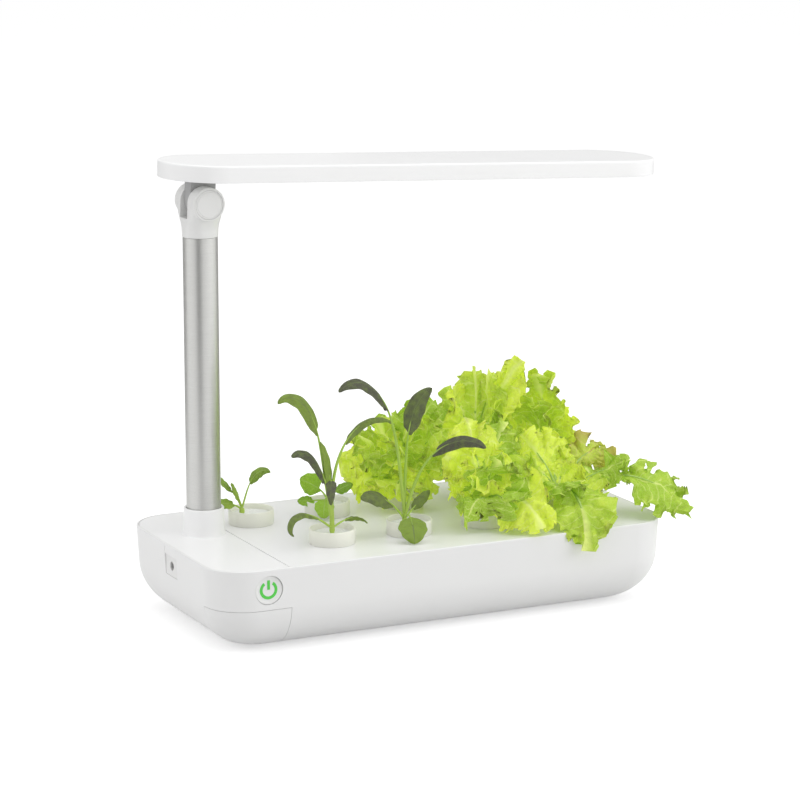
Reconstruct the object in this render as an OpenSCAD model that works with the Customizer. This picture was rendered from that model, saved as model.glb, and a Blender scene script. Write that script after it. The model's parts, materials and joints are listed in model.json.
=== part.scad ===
// Countertop hydroponic garden: a boat-shaped water tank with a lift-off
// growing tray, nine lift-out pods with their plants, and a grow lamp that
// tilts on a hinge at the top of a mast.
// Frame: +X right along the length, +Y to the back, +Z up. The origin lies on
// the table, under the plan centre of the base. Millimetres.

/* [Base] */
// Overall length of the base
base_len = 400; // [385:5:460]
// Overall depth of the base, front to back
base_wid = 200; // [195:5:230]
// Height of the tank hull, without its feet
hull_h = 68.5; // [64:0.5:78]
// Plan radius of the base corners at the deck
corner_r = 34; // [30:1:44]
// Inward slope of the upright wall, in mm per mm of depth
wall_slope = 0.05; // [0.02:0.01:0.08]
// Width of the rounded bilge, measured inwards
bilge_w = 36; // [30:1:40]
// Height of the rounded bilge
bilge_h = 38; // [32:1:44]
// Thickness of the tank wall
wall_t = 3.2; // [2.8:0.1:3.8]
// Thickness of the tank floor
floor_t = 2.8; // [2:0.1:4]
// Thickness of the deck and tray plates, and depth of the rebate they lie in
plate_t = 3; // [2.4:0.1:4]
// Width of the hull rim that shows around the plates
rim_w = 1.6; // [1.2:0.1:2]
// Gap around the plates
plate_gap = 0.3; // [0.2:0.05:0.5]
// Distance from the left end to the seam between deck and tray
seam_in = 59; // [58:1:64]
// Radius of a rubber foot
foot_r = 8; // [6:0.5:10]
// How far the feet stand out below the hull
foot_h = 1.2; // [0.8:0.1:2]
// How deep a foot sits in its pocket
foot_sunk = 0.8; // [0.5:0.1:1.2]
// Distance of the outer feet from the ends of the base
foot_in_x = 58; // [52:1:70]
// Distance of the outer feet from the long sides of the base
foot_in_y = 56; // [52:1:62]

/* [Control cover] */
// Height of the seam at the top of the corner cover, above the hull's bottom
cover_h = 36; // [32:0.5:42]
// Distance from the left end to the cover's upright seam
cover_len = 61; // [60:0.5:64]
// Distance from the front to the cover's seam on the left side
cover_wid = 35; // [30:0.5:42]
// Width of the seams around the cover
cover_gap = 0.3; // [0.2:0.05:0.5]
// Width of the lip behind the cover's edges
lip_w = 3; // [2:0.5:4]
// Thickness of that lip
lip_t = 1.2; // [1:0.1:1.6]

/* [Power button] */
// Radius of the button's hole in the front wall
button_hole_r = 11.6; // [10:0.1:12.5]
// Clearance between the button and its hole
button_gap = 0.25; // [0.2:0.05:0.4]
// Distance from the left end to the button's axis
button_in = 41.5; // [40:0.5:44]
// Height of the button's axis above the hull's bottom
button_z = 52; // [50:0.5:54]
// Thickness of the button cap
button_t = 4.5; // [4.4:0.1:6]
// Travel of the button
button_travel = 1; // [0.6:0.1:1.2]
// How far the button's face lies behind the wall's surface
button_sunk = 0.9; // [0.6:0.1:1.4]
// Outer radius of the lit power sign
icon_r = 7; // [6:0.1:8]
// Line width of the sign
icon_w = 1.9; // [1.4:0.1:2.2]
// Depth of the sign's light guide
icon_t = 1.2; // [0.8:0.1:1.6]
// Half of the angle left open at the top of the sign's ring
icon_open = 36; // [30:1:45]

/* [Power inlet] */
// Width of the recessed inlet plate
inlet_w = 24.5; // [20:0.5:30]
// Height of the inlet plate
inlet_h = 16.5; // [15:0.5:18]
// Height of the inlet's axis above the hull's bottom
inlet_z = 52; // [50:0.5:53]
// Thickness of the inlet plate
inlet_t = 1.6; // [1.2:0.1:2]
// How far the plate lies behind the wall's surface
inlet_sunk = 1.2; // [0.8:0.1:1.6]
// Radius of the jack's bore
jack_r = 3.2; // [2.8:0.1:3.6]
// Radius of the jack's centre pin
jack_pin_r = 1.05; // [0.8:0.05:1.25]
// Depth of the jack's bore
jack_depth = 9.5; // [8:0.5:11]

/* [Mast] */
// Distance from the left end to the mast's axis
mast_in = 40; // [38:0.5:40.5]
// Distance of the mast's axis behind the middle
mast_y = 26.4; // [20:0.1:30]
// Radius of the mast tube
tube_r = 13.8; // [12.5:0.1:14]
// Wall of the mast tube
tube_t = 1.5; // [1:0.1:2]
// Radius of the collar at its top
collar_r = 16.2; // [15.8:0.1:16.6]
// Radius of the collar where it meets the deck
collar_base_r = 17; // [16.6:0.1:17.4]
// Height of the collar above the deck
collar_h = 22; // [18:0.5:28]
// Depth of the tube's socket below the deck
socket_depth = 36; // [28:1:42]
// Running clearance between the tube and its socket
socket_gap = 0.1; // [0.05:0.05:0.2]
// Height of the tube's top above the deck
mast_h = 239.5; // [200:1:300]

/* [Lamp hinge] */
// Height of the hinge axis above the tube's top
hinge_up = 27; // [24:0.5:32]
// Radius of the hinge ears
ear_r = 13.3; // [12.5:0.1:14]
// Overall width of the mast head across its ears
head_wid = 40; // [36:0.5:44]
// Width of the slot between the ears
slot_w = 14.4; // [12:0.2:16]
// Radius of the lamp's hinge knuckle
knuckle_r = 10.4; // [9:0.1:11]
// Depth of the slot below the hinge axis
slot_below = 12; // [11.8:0.1:13]
// Radius of the neck where it meets the tube
neck_r = 14.1; // [14:0.1:14.5]
// Radius of the hinge pin
pin_r = 3; // [2.5:0.1:3.5]
// Radial clearance of the pin in the knuckle
pin_gap = 0.05; // [0.02:0.01:0.08]
// Radius of the caps over the pin's ends
cap_r = 11.4; // [10:0.1:11.8]
// Thickness of those caps
cap_t = 2; // [1.5:0.1:3]
// Thickness of the friction washers
washer_t = 0.6; // [0.4:0.1:0.8]
// Droop of the lamp at rest, in degrees
lamp_droop = 2.64; // [0:0.02:4]

/* [Lamp] */
// Length of the lamp
lamp_len = 436.4; // [380:1:480]
// Width of the lamp
lamp_wid = 82.5; // [76:0.5:96]
// Thickness of the lamp
lamp_t = 13.4; // [12:0.1:18]
// Distance from the hinge axis to the lamp's left end
lamp_over = 33.3; // [31:0.1:40]
// Height of the lamp's underside above the hinge axis
lamp_up = 19.2; // [17:0.1:24]
// Wall of the lamp housing
lamp_wall = 1.8; // [1.4:0.1:2.4]
// Thickness of the diffuser and of the end cover
diffuser_t = 2; // [1.5:0.1:2.5]
// Length of the end cover, from the lamp's left end
end_cover_len = 76; // [70:1:90]
// Thickness of the aluminium board of LEDs
led_board_t = 1.6; // [1:0.1:2]
// Number of LEDs in a row
led_count = 14; // [8:1:18]
// Number of rows of LEDs
led_rows = 3; // [2:1:3]
// Side of a square LED
led_w = 3.5; // [2.8:0.1:5]
// Thickness of an LED
led_t = 0.8; // [0.6:0.1:1]

/* [Pods] */
// Radius of a pod's ring above the tray
ring_r = 18.45; // [17.8:0.05:19.5]
// Height of the ring above the tray
ring_h = 12; // [9:0.5:15]
// Wall of a pod
pod_wall = 1.4; // [1:0.1:1.8]
// Radius of the basket below the ring
basket_r = 16.8; // [15:0.1:17]
// Depth of the basket below the tray's top
basket_depth = 42; // [34:1:46]
// Clearance of the basket in the tray's hole
basket_gap = 0.4; // [0.3:0.05:0.6]
// Distance of the back row behind the middle
back_row_y = 41; // [38:0.5:44]
// Distance of the front row before the middle
front_row_y = 45.2; // [40:0.1:48]
// Distance from the left end to the first pod of the back row
back_row_in = 87.2; // [85:0.2:90]
// Distance from the right end to the last pod of the back row
back_row_out = 42.4; // [40:0.2:50]
// How far the front row is set to the right of the back row
front_row_shift = 32.2; // [28:0.2:34]
// How far the sponge lies below the pod's rim
sponge_down = 4; // [1:0.1:5]

/* [Plants] */
// Height of the tallest lettuce leaf above its crown
lettuce_h = 110; // [80:1:130]
// Height that the herbs are drawn to
herb_h = 116; // [80:1:130]
// Thickness of a leaf
leaf_t = 1.6; // [1.2:0.1:2]
// How far off the middle the sprout grows in its pod
sprout_shift = -8; // [-9:0.5:0]
// How far off the middle the taller herb grows in its pod
herb_shift = -4; // [-6:0.5:0]

/* [Hidden] */
$fn = 64;

eps = 0.01;
over = 1;                        // how far a cutting tool runs past a face
deck_z = foot_h + hull_h;
left_x = -base_len / 2;
seam_x = left_x + seam_in;
bulkhead_t = wall_t;
front_y = -base_wid / 2;

// Plan inset of the hull's skin at a height above its bottom.
function bilge_in(z) = z >= bilge_h ? 0
    : bilge_w * (1 - sqrt(1 - pow(1 - z / bilge_h, 2)));
function skin_in(z) = (hull_h - z) * wall_slope + bilge_in(z);

// Heights of the rings that make up the skin, close together in the bilge.
bilge_steps = 9;
skin_levels = concat(
    [for (k = [0:bilge_steps]) bilge_h * (1 - cos(90 * k / bilge_steps))],
    [hull_h]);

module rounded_plan(length, width, radius) {
    hx = length / 2 - radius;
    hy = width / 2 - radius;
    square([length, 2 * hy], center = true);
    square([2 * hx, width], center = true);
    for (sx = [-1, 1], sy = [-1, 1])
        translate([sx * hx, sy * hy]) circle(r = radius);
}

// A hull-shaped solid whose skin lies shell inside the outer skin and whose
// bottom is lifted by lift.
module boat(shell, lift) {
    hull()
        for (level = skin_levels) {
            inset = skin_in(level) + shell;
            z = min(level + lift, hull_h + over * min(1, lift));
            translate([0, 0, foot_h + z])
                linear_extrude(eps)
                    rounded_plan(base_len - 2 * inset, base_wid - 2 * inset,
                        corner_r - inset / 2, $fn = 32);
        }
}

module box(from, to) {
    translate(from) cube([for (k = [0:2]) to[k] - from[k]]);
}

// ---- Base ----

foot_z = foot_h + foot_sunk;
foot_places = [[0, 0],
    for (sx = [-1, 1], sy = [-1, 1])
        [sx * (base_len / 2 - foot_in_x), sy * (base_wid / 2 - foot_in_y)]];
rib_h = 5;

button_x = left_x + button_in;
button_axis_z = foot_h + button_z;
button_wall_y = front_y + skin_in(button_z);
button_face_y = button_wall_y + button_sunk;

inlet_axis_z = foot_h + inlet_z;
inlet_wall_x = left_x + skin_in(inlet_z);
inlet_face_x = inlet_wall_x + inlet_sunk;
seam_groove = 0.4;

boss_r = 4;
boss_from_seam = 9;
boss_front_in = 46;
boss_back_in = 42;
boss_places = [[seam_x - boss_from_seam, front_y + boss_front_in],
    [seam_x - boss_from_seam, -front_y - boss_back_in]];
screw_r = 1.5;
screw_head_r = 2.8;
screw_head_h = 1.8;

cover_x = left_x + cover_len;
cover_y = front_y + cover_wid;
cover_z = foot_h + cover_h;

module cover_region(grow) {
    box([left_x - over, front_y - over, -over],
        [cover_x + grow, cover_y + grow, cover_z + grow]);
}

module base_hull() {
    color("white") {
        hull_shell();
        // posts on the front wall that carry the control board
        for (side = [-1, 1])
            translate([button_x + side * board_post_x, button_wall_y + wall_t / 3,
                    button_axis_z - board_post_z])
                rotate([-90, 0, 0])
                    cylinder(r = board_post_r, h = board_y - button_wall_y - wall_t / 3);
    }
}

module hull_shell() {
    difference() {
        boat(0, 0);
        // tank and electronics bay, either side of the bulkhead
        difference() {
            boat(wall_t, floor_t);
            box([seam_x - bulkhead_t / 2, -base_wid, 0],
                [seam_x + bulkhead_t / 2, base_wid, deck_z + 2 * over]);
            for (p = boss_places)
                translate([p[0], p[1], 0]) cylinder(r = boss_r, h = foot_h + floor_t + rib_h);
        }
        // rebate that holds the deck plate and the tray
        translate([0, 0, deck_z - plate_t])
            linear_extrude(plate_t + over)
                rounded_plan(base_len - 2 * rim_w, base_wid - 2 * rim_w, corner_r - rim_w);
        cover_region(0);
        // power button
        translate([button_x, front_y - over, button_axis_z])
            rotate([-90, 0, 0]) cylinder(r = button_hole_r, h = 2 * wall_t + 2 * over);
        // inlet plate, with the parting line that rises from it to the rim
        box([left_x - over, -inlet_w / 2, inlet_axis_z - inlet_h / 2],
            [inlet_wall_x + 2 * wall_t, inlet_w / 2, inlet_axis_z + inlet_h / 2]);
        box([left_x - over, inlet_w / 2 - seam_groove, inlet_axis_z],
            [inlet_wall_x + seam_groove, inlet_w / 2, deck_z + over]);
        for (p = foot_places)
            translate([p[0], p[1], -eps]) cylinder(r = foot_r + 0.1, h = foot_z + eps);
        for (p = boss_places)
            translate([p[0], p[1], -eps]) {
                cylinder(r = screw_r + 0.1, h = deck_z);
                cylinder(r = screw_head_r + 0.2, h = foot_h + screw_head_h + 0.2);
            }
    }
}

module rubber_feet() {
    chamfer = 0.4;
    color("dimgray")
    for (p = foot_places)
        translate([p[0], p[1], 0])
            rotate_extrude()
                polygon([[0, 0], [foot_r - chamfer, 0], [foot_r, chamfer],
                    [foot_r, foot_z], [0, foot_z]]);
}

// Corner cover of the electronics bay, with a lip that lies behind the
// hull's edges.
module control_cover() {
    color("white") {
        intersection() {
            difference() {
                boat(0, 0);
                boat(wall_t, floor_t);
            }
            cover_region(-cover_gap);
        }
        intersection() {
            difference() {
                boat(wall_t, floor_t);
                boat(wall_t + lip_t, floor_t + lip_t);
            }
            box([left_x, front_y, 0], [cover_x + lip_w, cover_y + lip_w, cover_z + lip_w]);
            box([left_x, front_y, 0], [seam_x - bulkhead_t / 2 - cover_gap, base_wid, deck_z]);
        }
    }
}

module plate_plan() {
    rounded_plan(base_len - 2 * rim_w - 2 * plate_gap,
        base_wid - 2 * rim_w - 2 * plate_gap, corner_r - rim_w - plate_gap);
}

// ---- Mast foot, collar and deck ----

mast_x = left_x + mast_in;
tube_top_z = deck_z + mast_h;
socket_z = deck_z - socket_depth;
socket_web = 3;
tube_bottom_z = socket_z + socket_web;
socket_r = tube_r + socket_gap;
socket_wall = 2;
collar_flare = 5;

module at_mast(z) {
    translate([mast_x, mast_y, z]) children();
}

module deck_plate() {
    lip = 0.8;
    color("white")
    difference() {
        union() {
            intersection() {
                translate([0, 0, deck_z - plate_t]) linear_extrude(plate_t) plate_plan();
                box([left_x, -base_wid, 0], [seam_x - plate_gap / 2, base_wid, deck_z]);
            }
            at_mast(0) {
                rotate_extrude()
                    polygon([[0, deck_z - eps], [collar_base_r, deck_z - eps],
                        [collar_r + 0.2, deck_z + collar_flare],
                        [collar_r, deck_z + collar_h - lip],
                        [collar_r - lip * 0.3, deck_z + collar_h - lip * 0.3],
                        [collar_r - lip, deck_z + collar_h], [0, deck_z + collar_h]]);
                translate([0, 0, socket_z])
                    cylinder(r = socket_r + socket_wall, h = socket_depth - plate_t + eps);
            }
            for (p = boss_places)
                translate([p[0], p[1], foot_h + floor_t + rib_h])
                    cylinder(r = boss_r, h = deck_z - plate_t - foot_h - floor_t - rib_h + eps);
        }
        at_mast(tube_bottom_z) cylinder(r = socket_r, h = deck_z + collar_h);
        at_mast(0) cylinder(r = cable_r + cable_gap, h = deck_z);
        for (side = [-1, 1])
            at_mast(0) translate([side * screw_off, 0, 0]) cylinder(r = screw_r + 0.1, h = deck_z);
        for (p = boss_places)
            translate([p[0], p[1], 0]) cylinder(r = screw_r, h = screw_tip_z);
    }
}

screw_tip_z = foot_h + floor_t + rib_h + 16;
screw_off = 8;
cable_r = 2.4;
cable_gap = 0.4;

module pan_screw(length) {
    cylinder(r = screw_head_r, h = screw_head_h);
    cylinder(r = screw_r, h = length);
}

module deck_screws() {
    color("silver")
    for (p = boss_places)
        translate([p[0], p[1], foot_h + 0.2]) pan_screw(screw_tip_z - foot_h - 0.2 - 1);
}

// Plug pressed into the tube's lower end; the screws from under the socket
// hold it.
module mast_foot() {
    plug_h = 14;
    color("gainsboro")
    at_mast(tube_bottom_z)
        difference() {
            cylinder(r = tube_r - tube_t, h = plug_h);
            translate([0, 0, -eps]) cylinder(r = cable_r + cable_gap, h = plug_h + 1);
            for (side = [-1, 1])
                translate([side * screw_off, 0, -eps]) cylinder(r = screw_r, h = 10);
        }
}

module mast_screw() {
    color("silver")
    for (side = [-1, 1])
        at_mast(socket_z - screw_head_h)
            translate([side * screw_off, 0, 0]) pan_screw(screw_head_h + socket_web + 9);
}

module mast_tube() {
    color("silver")
    at_mast(tube_bottom_z)
        difference() {
            cylinder(r = tube_r, h = tube_top_z - tube_bottom_z);
            translate([0, 0, -eps])
                cylinder(r = tube_r - tube_t, h = tube_top_z - tube_bottom_z + 1);
        }
}

// ---- Electronics ----

board_t = 1.6;
switch_w = 6;
switch_h = 3.6;
stem_h = 2.2;
nub_h = 0.5;                     // nub on the button's back that meets the switch
press_gap = 0.1;                 // what is left between them at full travel
stem_y = button_face_y + button_t + nub_h + button_travel + press_gap;
board_y = stem_y + stem_h + switch_h;
board_w = 29;
board_up = 10;
board_down = 15;
board_post_x = 12.5;
board_post_z = 10;
board_post_r = 2.2;

// Frame for pieces that lie along the button's axis: local +Z points into
// the base.
module at_button(y) {
    translate([button_x, y, button_axis_z]) rotate([-90, 0, 0]) children();
}

button_dish = 0.5;

module sign_outline(grow) {
    ring = icon_w + 2 * grow;
    mid = icon_r - icon_w / 2;
    // open ring
    difference() {
        circle(r = mid + ring / 2);
        circle(r = mid - ring / 2);
        polygon([[0, 0], for (a = [-1, 1]) 3 * icon_r * [sin(a * icon_open), cos(a * icon_open)]]);
    }
    for (a = [-1, 1])
        translate(mid * [sin(a * icon_open), cos(a * icon_open)]) circle(r = ring / 2);
    // bar
    translate([-ring / 2, icon_r * 0.02]) square([ring, icon_r * 1.08]);
    for (y = [icon_r * 0.02, icon_r * 1.1])
        translate([0, y]) circle(r = ring / 2);
}

module power_button() {
    flange_r = button_hole_r + 1;
    flange_h = 1;
    cap_rad = button_hole_r - button_gap;
    edge = 0.4;
    color("white")
    at_button(button_face_y)
        difference() {
            union() {
                rotate_extrude()
                    polygon([[0, button_dish], [icon_r + 1, button_dish], [cap_rad - edge, 0],
                        [cap_rad, edge], [cap_rad, button_t], [0, button_t]]);
                translate([0, 0, button_t - flange_h]) cylinder(r = flange_r, h = flange_h);
                cylinder(r = 2, h = button_t + nub_h);
            }
            translate([0, 0, button_dish - over]) rotate([0, 0, 180])
                linear_extrude(icon_t + over) sign_outline(0.05);
        }
}

module button_icon() {
    color("limegreen")
    at_button(button_face_y)
        translate([0, 0, button_dish]) rotate([0, 0, 180]) linear_extrude(icon_t) sign_outline(0);
}

module button_switch() {
    color("black")
    at_button(stem_y) {
        translate([-switch_w / 2, -switch_w / 2, stem_h]) cube([switch_w, switch_w, switch_h]);
        cylinder(r = 1.6, h = stem_h + eps);
    }
}

module control_board() {
    color("darkgreen")
    box([button_x - board_w / 2, board_y, button_axis_z - board_down],
        [button_x + board_w / 2, board_y + board_t, button_axis_z + board_up]);
}

// Timer chip, lamp driver, capacitor and cable socket on the board's back.
module board_parts() {
    back = board_y + board_t;
    color("dimgray")
    translate([button_x, back, button_axis_z]) {
        box([-12, 0, -12], [-2, 2.2, -2]);
        box([3, 0, -11], [11, 6, -5]);
        box([-13, 0, 1], [-4, 5, 7]);
        translate([6, 0, 3]) rotate([-90, 0, 0]) cylinder(r = 3.5, h = 9);
    }
}

module inlet_plate() {
    play = 0.2;
    color("whitesmoke")
    difference() {
        box([inlet_face_x, -inlet_w / 2 + play, inlet_axis_z - inlet_h / 2 + play],
            [inlet_face_x + inlet_t, inlet_w / 2 - play, inlet_axis_z + inlet_h / 2 - play]);
        translate([inlet_face_x - over, 0, inlet_axis_z])
            rotate([0, 90, 0]) cylinder(r = jack_r + 0.4, h = inlet_t + 2 * over);
    }
}

module inlet_jack() {
    jack_x = inlet_face_x + inlet_t;
    color("black")
    translate([jack_x, 0, inlet_axis_z])
        rotate([0, 90, 0]) {
            difference() {
                union() {
                    translate([-jack_r - 2.2, -jack_r - 1.6, 0])
                        cube([2 * jack_r + 4.4, 2 * jack_r + 3.2, jack_depth + 3]);
                }
                translate([0, 0, -over]) cylinder(r = jack_r, h = jack_depth + over);
            }
            cylinder(r = jack_pin_r, h = jack_depth + 1);
        }
}

// ---- Mast head and hinge ----

hinge_z = tube_top_z + hinge_up;
spigot_h = 18;
neck_chamfer = 0.8;

// Frame of the hinge: local +Z runs along the pin, from back to front.
module at_hinge(y) {
    translate([mast_x, mast_y + y, hinge_z]) rotate([90, 0, 0]) children();
}

module mast_head() {
    color("whitesmoke")
    difference() {
        union() {
            hull() {
                at_mast(tube_top_z) cylinder(r = neck_r, h = neck_chamfer, $fn = 48);
                at_hinge(head_wid / 2) cylinder(r = ear_r, h = head_wid, $fn = 48);
            }
            at_mast(tube_top_z - spigot_h)
                cylinder(r = tube_r - tube_t - 0.05, h = spigot_h + eps);
        }
        // slot, open at the top and towards the left
        box([mast_x - 2 * ear_r, mast_y - slot_w / 2, hinge_z - slot_below],
            [mast_x + 2 * ear_r, mast_y + slot_w / 2, hinge_z + 2 * ear_r]);
        at_hinge(head_wid) cylinder(r = pin_r, h = 2 * head_wid);
        for (side = [-1, 1])
            at_hinge(side * (head_wid / 2 - cap_t / 2 + over / 2) + cap_t / 2 + over / 2)
                cylinder(r = cap_r + 0.1, h = cap_t + over);
        at_mast(tube_top_z - spigot_h - over) cylinder(r = cable_r + cable_gap, h = hinge_z);
    }
}

module hinge_pin() {
    pin_len = head_wid - 2 * cap_t - 1;
    color("silver")
    at_hinge(pin_len / 2) cylinder(r = pin_r, h = pin_len);
}

module hinge_caps() {
    color("white")
    for (side = [-1, 1])
        at_hinge(side * head_wid / 2 + (side > 0 ? 0 : cap_t))
            cylinder(r = cap_r, h = cap_t);
}

tongue_w = slot_w - 2 * washer_t - 0.4;

module hinge_washers() {
    color("dimgray")
    for (side = [-1, 1])
        at_hinge(side * (tongue_w + washer_t) / 2 + washer_t / 2)
            difference() {
                cylinder(r = knuckle_r - 1.4, h = washer_t);
                translate([0, 0, -over]) cylinder(r = pin_r + pin_gap, h = washer_t + 2 * over);
            }
}

module mast_cable() {
    color("black")
    at_mast(tube_bottom_z - 18) cylinder(r = cable_r, h = hinge_z - slot_below - tube_bottom_z + 18 - 1);
}

// ---- Lamp, drawn level and then drooped about the hinge ----

lamp_z = hinge_z + lamp_up;
lamp_left = mast_x - lamp_over;
lamp_mid_x = lamp_left + lamp_len / 2;
lamp_end_x = lamp_left + end_cover_len;
flange_t = 2.4;
flange_z = lamp_z + diffuser_t + screw_head_h + 0.2;
flange_l = 40;
flange_w = 34;
flange_screw_x = 15;
flange_screw_y = 12;
lamp_boss_r = 3.2;
flange_screws = [for (sx = [-1, 1], sy = [-1, 1])
    [mast_x + sx * flange_screw_x, mast_y + sy * flange_screw_y]];

module lamp_pose() {
    translate([mast_x, 0, hinge_z]) rotate([0, lamp_droop, 0]) translate([-mast_x, 0, -hinge_z])
        children();
}

// Stadium outline of the lamp, drawn in by inset.
module lamp_plan(inset) {
    r = lamp_wid / 2 - inset;
    translate([lamp_mid_x, mast_y]) {
        square([lamp_len - lamp_wid, 2 * r], center = true);
        for (side = [-1, 1])
            translate([side * (lamp_len - lamp_wid) / 2, 0]) circle(r = r, $fn = 96);
    }
}

module lamp_housing() {
    edge = 0.8;
    color("white")
    lamp_pose()
        difference() {
            union() {
                translate([0, 0, lamp_z]) linear_extrude(lamp_t - edge) lamp_plan(0);
                translate([0, 0, lamp_z]) linear_extrude(lamp_t) lamp_plan(edge);
            }
            difference() {
                translate([0, 0, lamp_z - over])
                    linear_extrude(lamp_t - lamp_wall + over) lamp_plan(lamp_wall);
                for (p = flange_screws)
                    translate([p[0], p[1], flange_z + flange_t])
                        cylinder(r = lamp_boss_r, h = lamp_t);
            }
            for (p = flange_screws)
                translate([p[0], p[1], flange_z])
                    cylinder(r = screw_r, h = lamp_z + lamp_t - lamp_wall - flange_z - 0.5);
        }
}

// The part of the lamp's inside plan to the left or right of the end cover's
// edge.
module lamp_inside(from_x, to_x) {
    intersection() {
        lamp_plan(lamp_wall + 0.2);
        translate([from_x, mast_y - lamp_wid]) square([to_x - from_x, 2 * lamp_wid]);
    }
}

module lamp_end_cover() {
    color("white")
    lamp_pose()
        difference() {
            translate([0, 0, lamp_z]) linear_extrude(diffuser_t)
                lamp_inside(lamp_left, lamp_end_x - 0.15);
            translate([mast_x - knuckle_r - 0.3, mast_y - tongue_w / 2 - 0.3, lamp_z - over])
                cube([2 * knuckle_r + 0.6, tongue_w + 0.6, diffuser_t + 2 * over]);
        }
}

module lamp_diffuser() {
    lip_h = 2.4;
    color("ivory", 0.9)
    lamp_pose() {
        translate([0, 0, lamp_z]) linear_extrude(diffuser_t)
            lamp_inside(lamp_end_x + 0.15, lamp_left + lamp_len);
        translate([0, 0, lamp_z + diffuser_t - eps]) linear_extrude(lip_h)
            difference() {
                lamp_inside(lamp_end_x + 2, lamp_left + lamp_len);
                lamp_plan(lamp_wall + 2);
            }
    }
}

// Hinge knuckle of the lamp with the neck and the flange that carry it.
module lamp_bracket() {
    color("whitesmoke")
    lamp_pose()
        difference() {
            union() {
                at_hinge(tongue_w / 2) cylinder(r = knuckle_r, h = tongue_w);
                box([mast_x - knuckle_r, mast_y - tongue_w / 2, hinge_z],
                    [mast_x + knuckle_r, mast_y + tongue_w / 2, flange_z + eps]);
                box([mast_x - flange_l / 2, mast_y - flange_w / 2, flange_z],
                    [mast_x + flange_l / 2, mast_y + flange_w / 2, flange_z + flange_t]);
            }
            at_hinge(tongue_w) cylinder(r = pin_r + pin_gap, h = 2 * tongue_w);
            translate([mast_x + 5, mast_y, hinge_z + pin_r + 2])
                cylinder(r = cable_r + 0.3, h = lamp_up + lamp_t);
            for (p = flange_screws)
                translate([p[0], p[1], flange_z - over])
                    cylinder(r = screw_r + 0.1, h = flange_t + 2 * over);
        }
}

module bracket_screws() {
    color("silver")
    lamp_pose()
        for (p = flange_screws)
            translate([p[0], p[1], flange_z - screw_head_h])
                pan_screw(lamp_z + lamp_t - lamp_wall - flange_z + screw_head_h - 0.6);
}

module led_board() {
    board_inset = lamp_wall + 6;
    color("silver")
    lamp_pose()
        translate([0, 0, lamp_z + lamp_t - lamp_wall - led_board_t])
            linear_extrude(led_board_t)
                intersection() {
                    lamp_plan(board_inset);
                    translate([lamp_end_x + 6, mast_y - lamp_wid])
                        square([lamp_len, 2 * lamp_wid]);
                }
}

module leds() {
    first_x = lamp_end_x + 18;
    last_x = lamp_left + lamp_len - 34;
    row_gap = 16;
    color("khaki")
    lamp_pose()
        for (k = [0:led_count - 1], row = [0:led_rows - 1])
            translate([first_x + (last_x - first_x) * k / (led_count - 1),
                    mast_y + (row - (led_rows - 1) / 2) * row_gap,
                    lamp_z + lamp_t - lamp_wall - led_board_t - led_t / 2])
                cube([led_w, led_w, led_t], center = true);
}

module lamp_cable() {
    run_z = flange_z + flange_t + cable_r + 0.2;
    color("black")
    lamp_pose() {
        translate([mast_x + 5, mast_y, hinge_z + pin_r + 3])
            cylinder(r = cable_r, h = run_z - hinge_z - pin_r - 3);
        translate([mast_x + 5, mast_y, run_z])
            rotate([0, 90, 0]) cylinder(r = cable_r, h = end_cover_len - lamp_over);
    }
}

// ---- Tray and pods ----

hole_r = basket_r + basket_gap;
back_pods = 5;
pod_pitch = (base_len - back_row_in - back_row_out) / (back_pods - 1);
back_row_x = left_x + back_row_in;
// Plan places of the pods: back row 1 to 5, then front row 1 to 4.
function back_pod(k) = [back_row_x + (k - 1) * pod_pitch, back_row_y];
function front_pod(k) = [back_row_x + front_row_shift + (k - 1) * pod_pitch, -front_row_y];
pod_places = concat([for (k = [1:back_pods]) back_pod(k)],
    [for (k = [1:back_pods - 1]) front_pod(k)]);

module grow_tray() {
    skirt_h = 5;
    skirt_t = 1.6;
    sleeve_h = 8;
    skirt_in = wall_t + 0.6 + skirt_h * wall_slope;
    color("white")
    difference() {
        union() {
            intersection() {
                translate([0, 0, deck_z - plate_t]) linear_extrude(plate_t) plate_plan();
                box([seam_x + plate_gap / 2, -base_wid, 0], [base_len, base_wid, deck_z]);
            }
            // skirt that locates the tray inside the tank
            translate([0, 0, deck_z - plate_t - skirt_h])
                linear_extrude(skirt_h + eps)
                    intersection() {
                        difference() {
                            rounded_plan(base_len - 2 * skirt_in, base_wid - 2 * skirt_in,
                                corner_r - skirt_in / 2);
                            rounded_plan(base_len - 2 * skirt_in - 2 * skirt_t,
                                base_wid - 2 * skirt_in - 2 * skirt_t,
                                corner_r - skirt_in / 2 - skirt_t);
                        }
                        translate([seam_x + bulkhead_t / 2 + 0.6, -base_wid])
                            square([base_len, 2 * base_wid]);
                    }
            for (p = pod_places)
                translate([p[0], p[1], deck_z - plate_t - sleeve_h])
                    cylinder(r = hole_r + 1.6, h = sleeve_h + eps);
        }
        for (p = pod_places)
            translate([p[0], p[1], 0]) cylinder(r = hole_r, h = deck_z + over);
    }
}

rim_z = deck_z + ring_h;
sponge_top_z = rim_z - sponge_down;
ring_in_r = ring_r - pod_wall;
basket_in_r = basket_r - pod_wall;
basket_z = deck_z - basket_depth;

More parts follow.
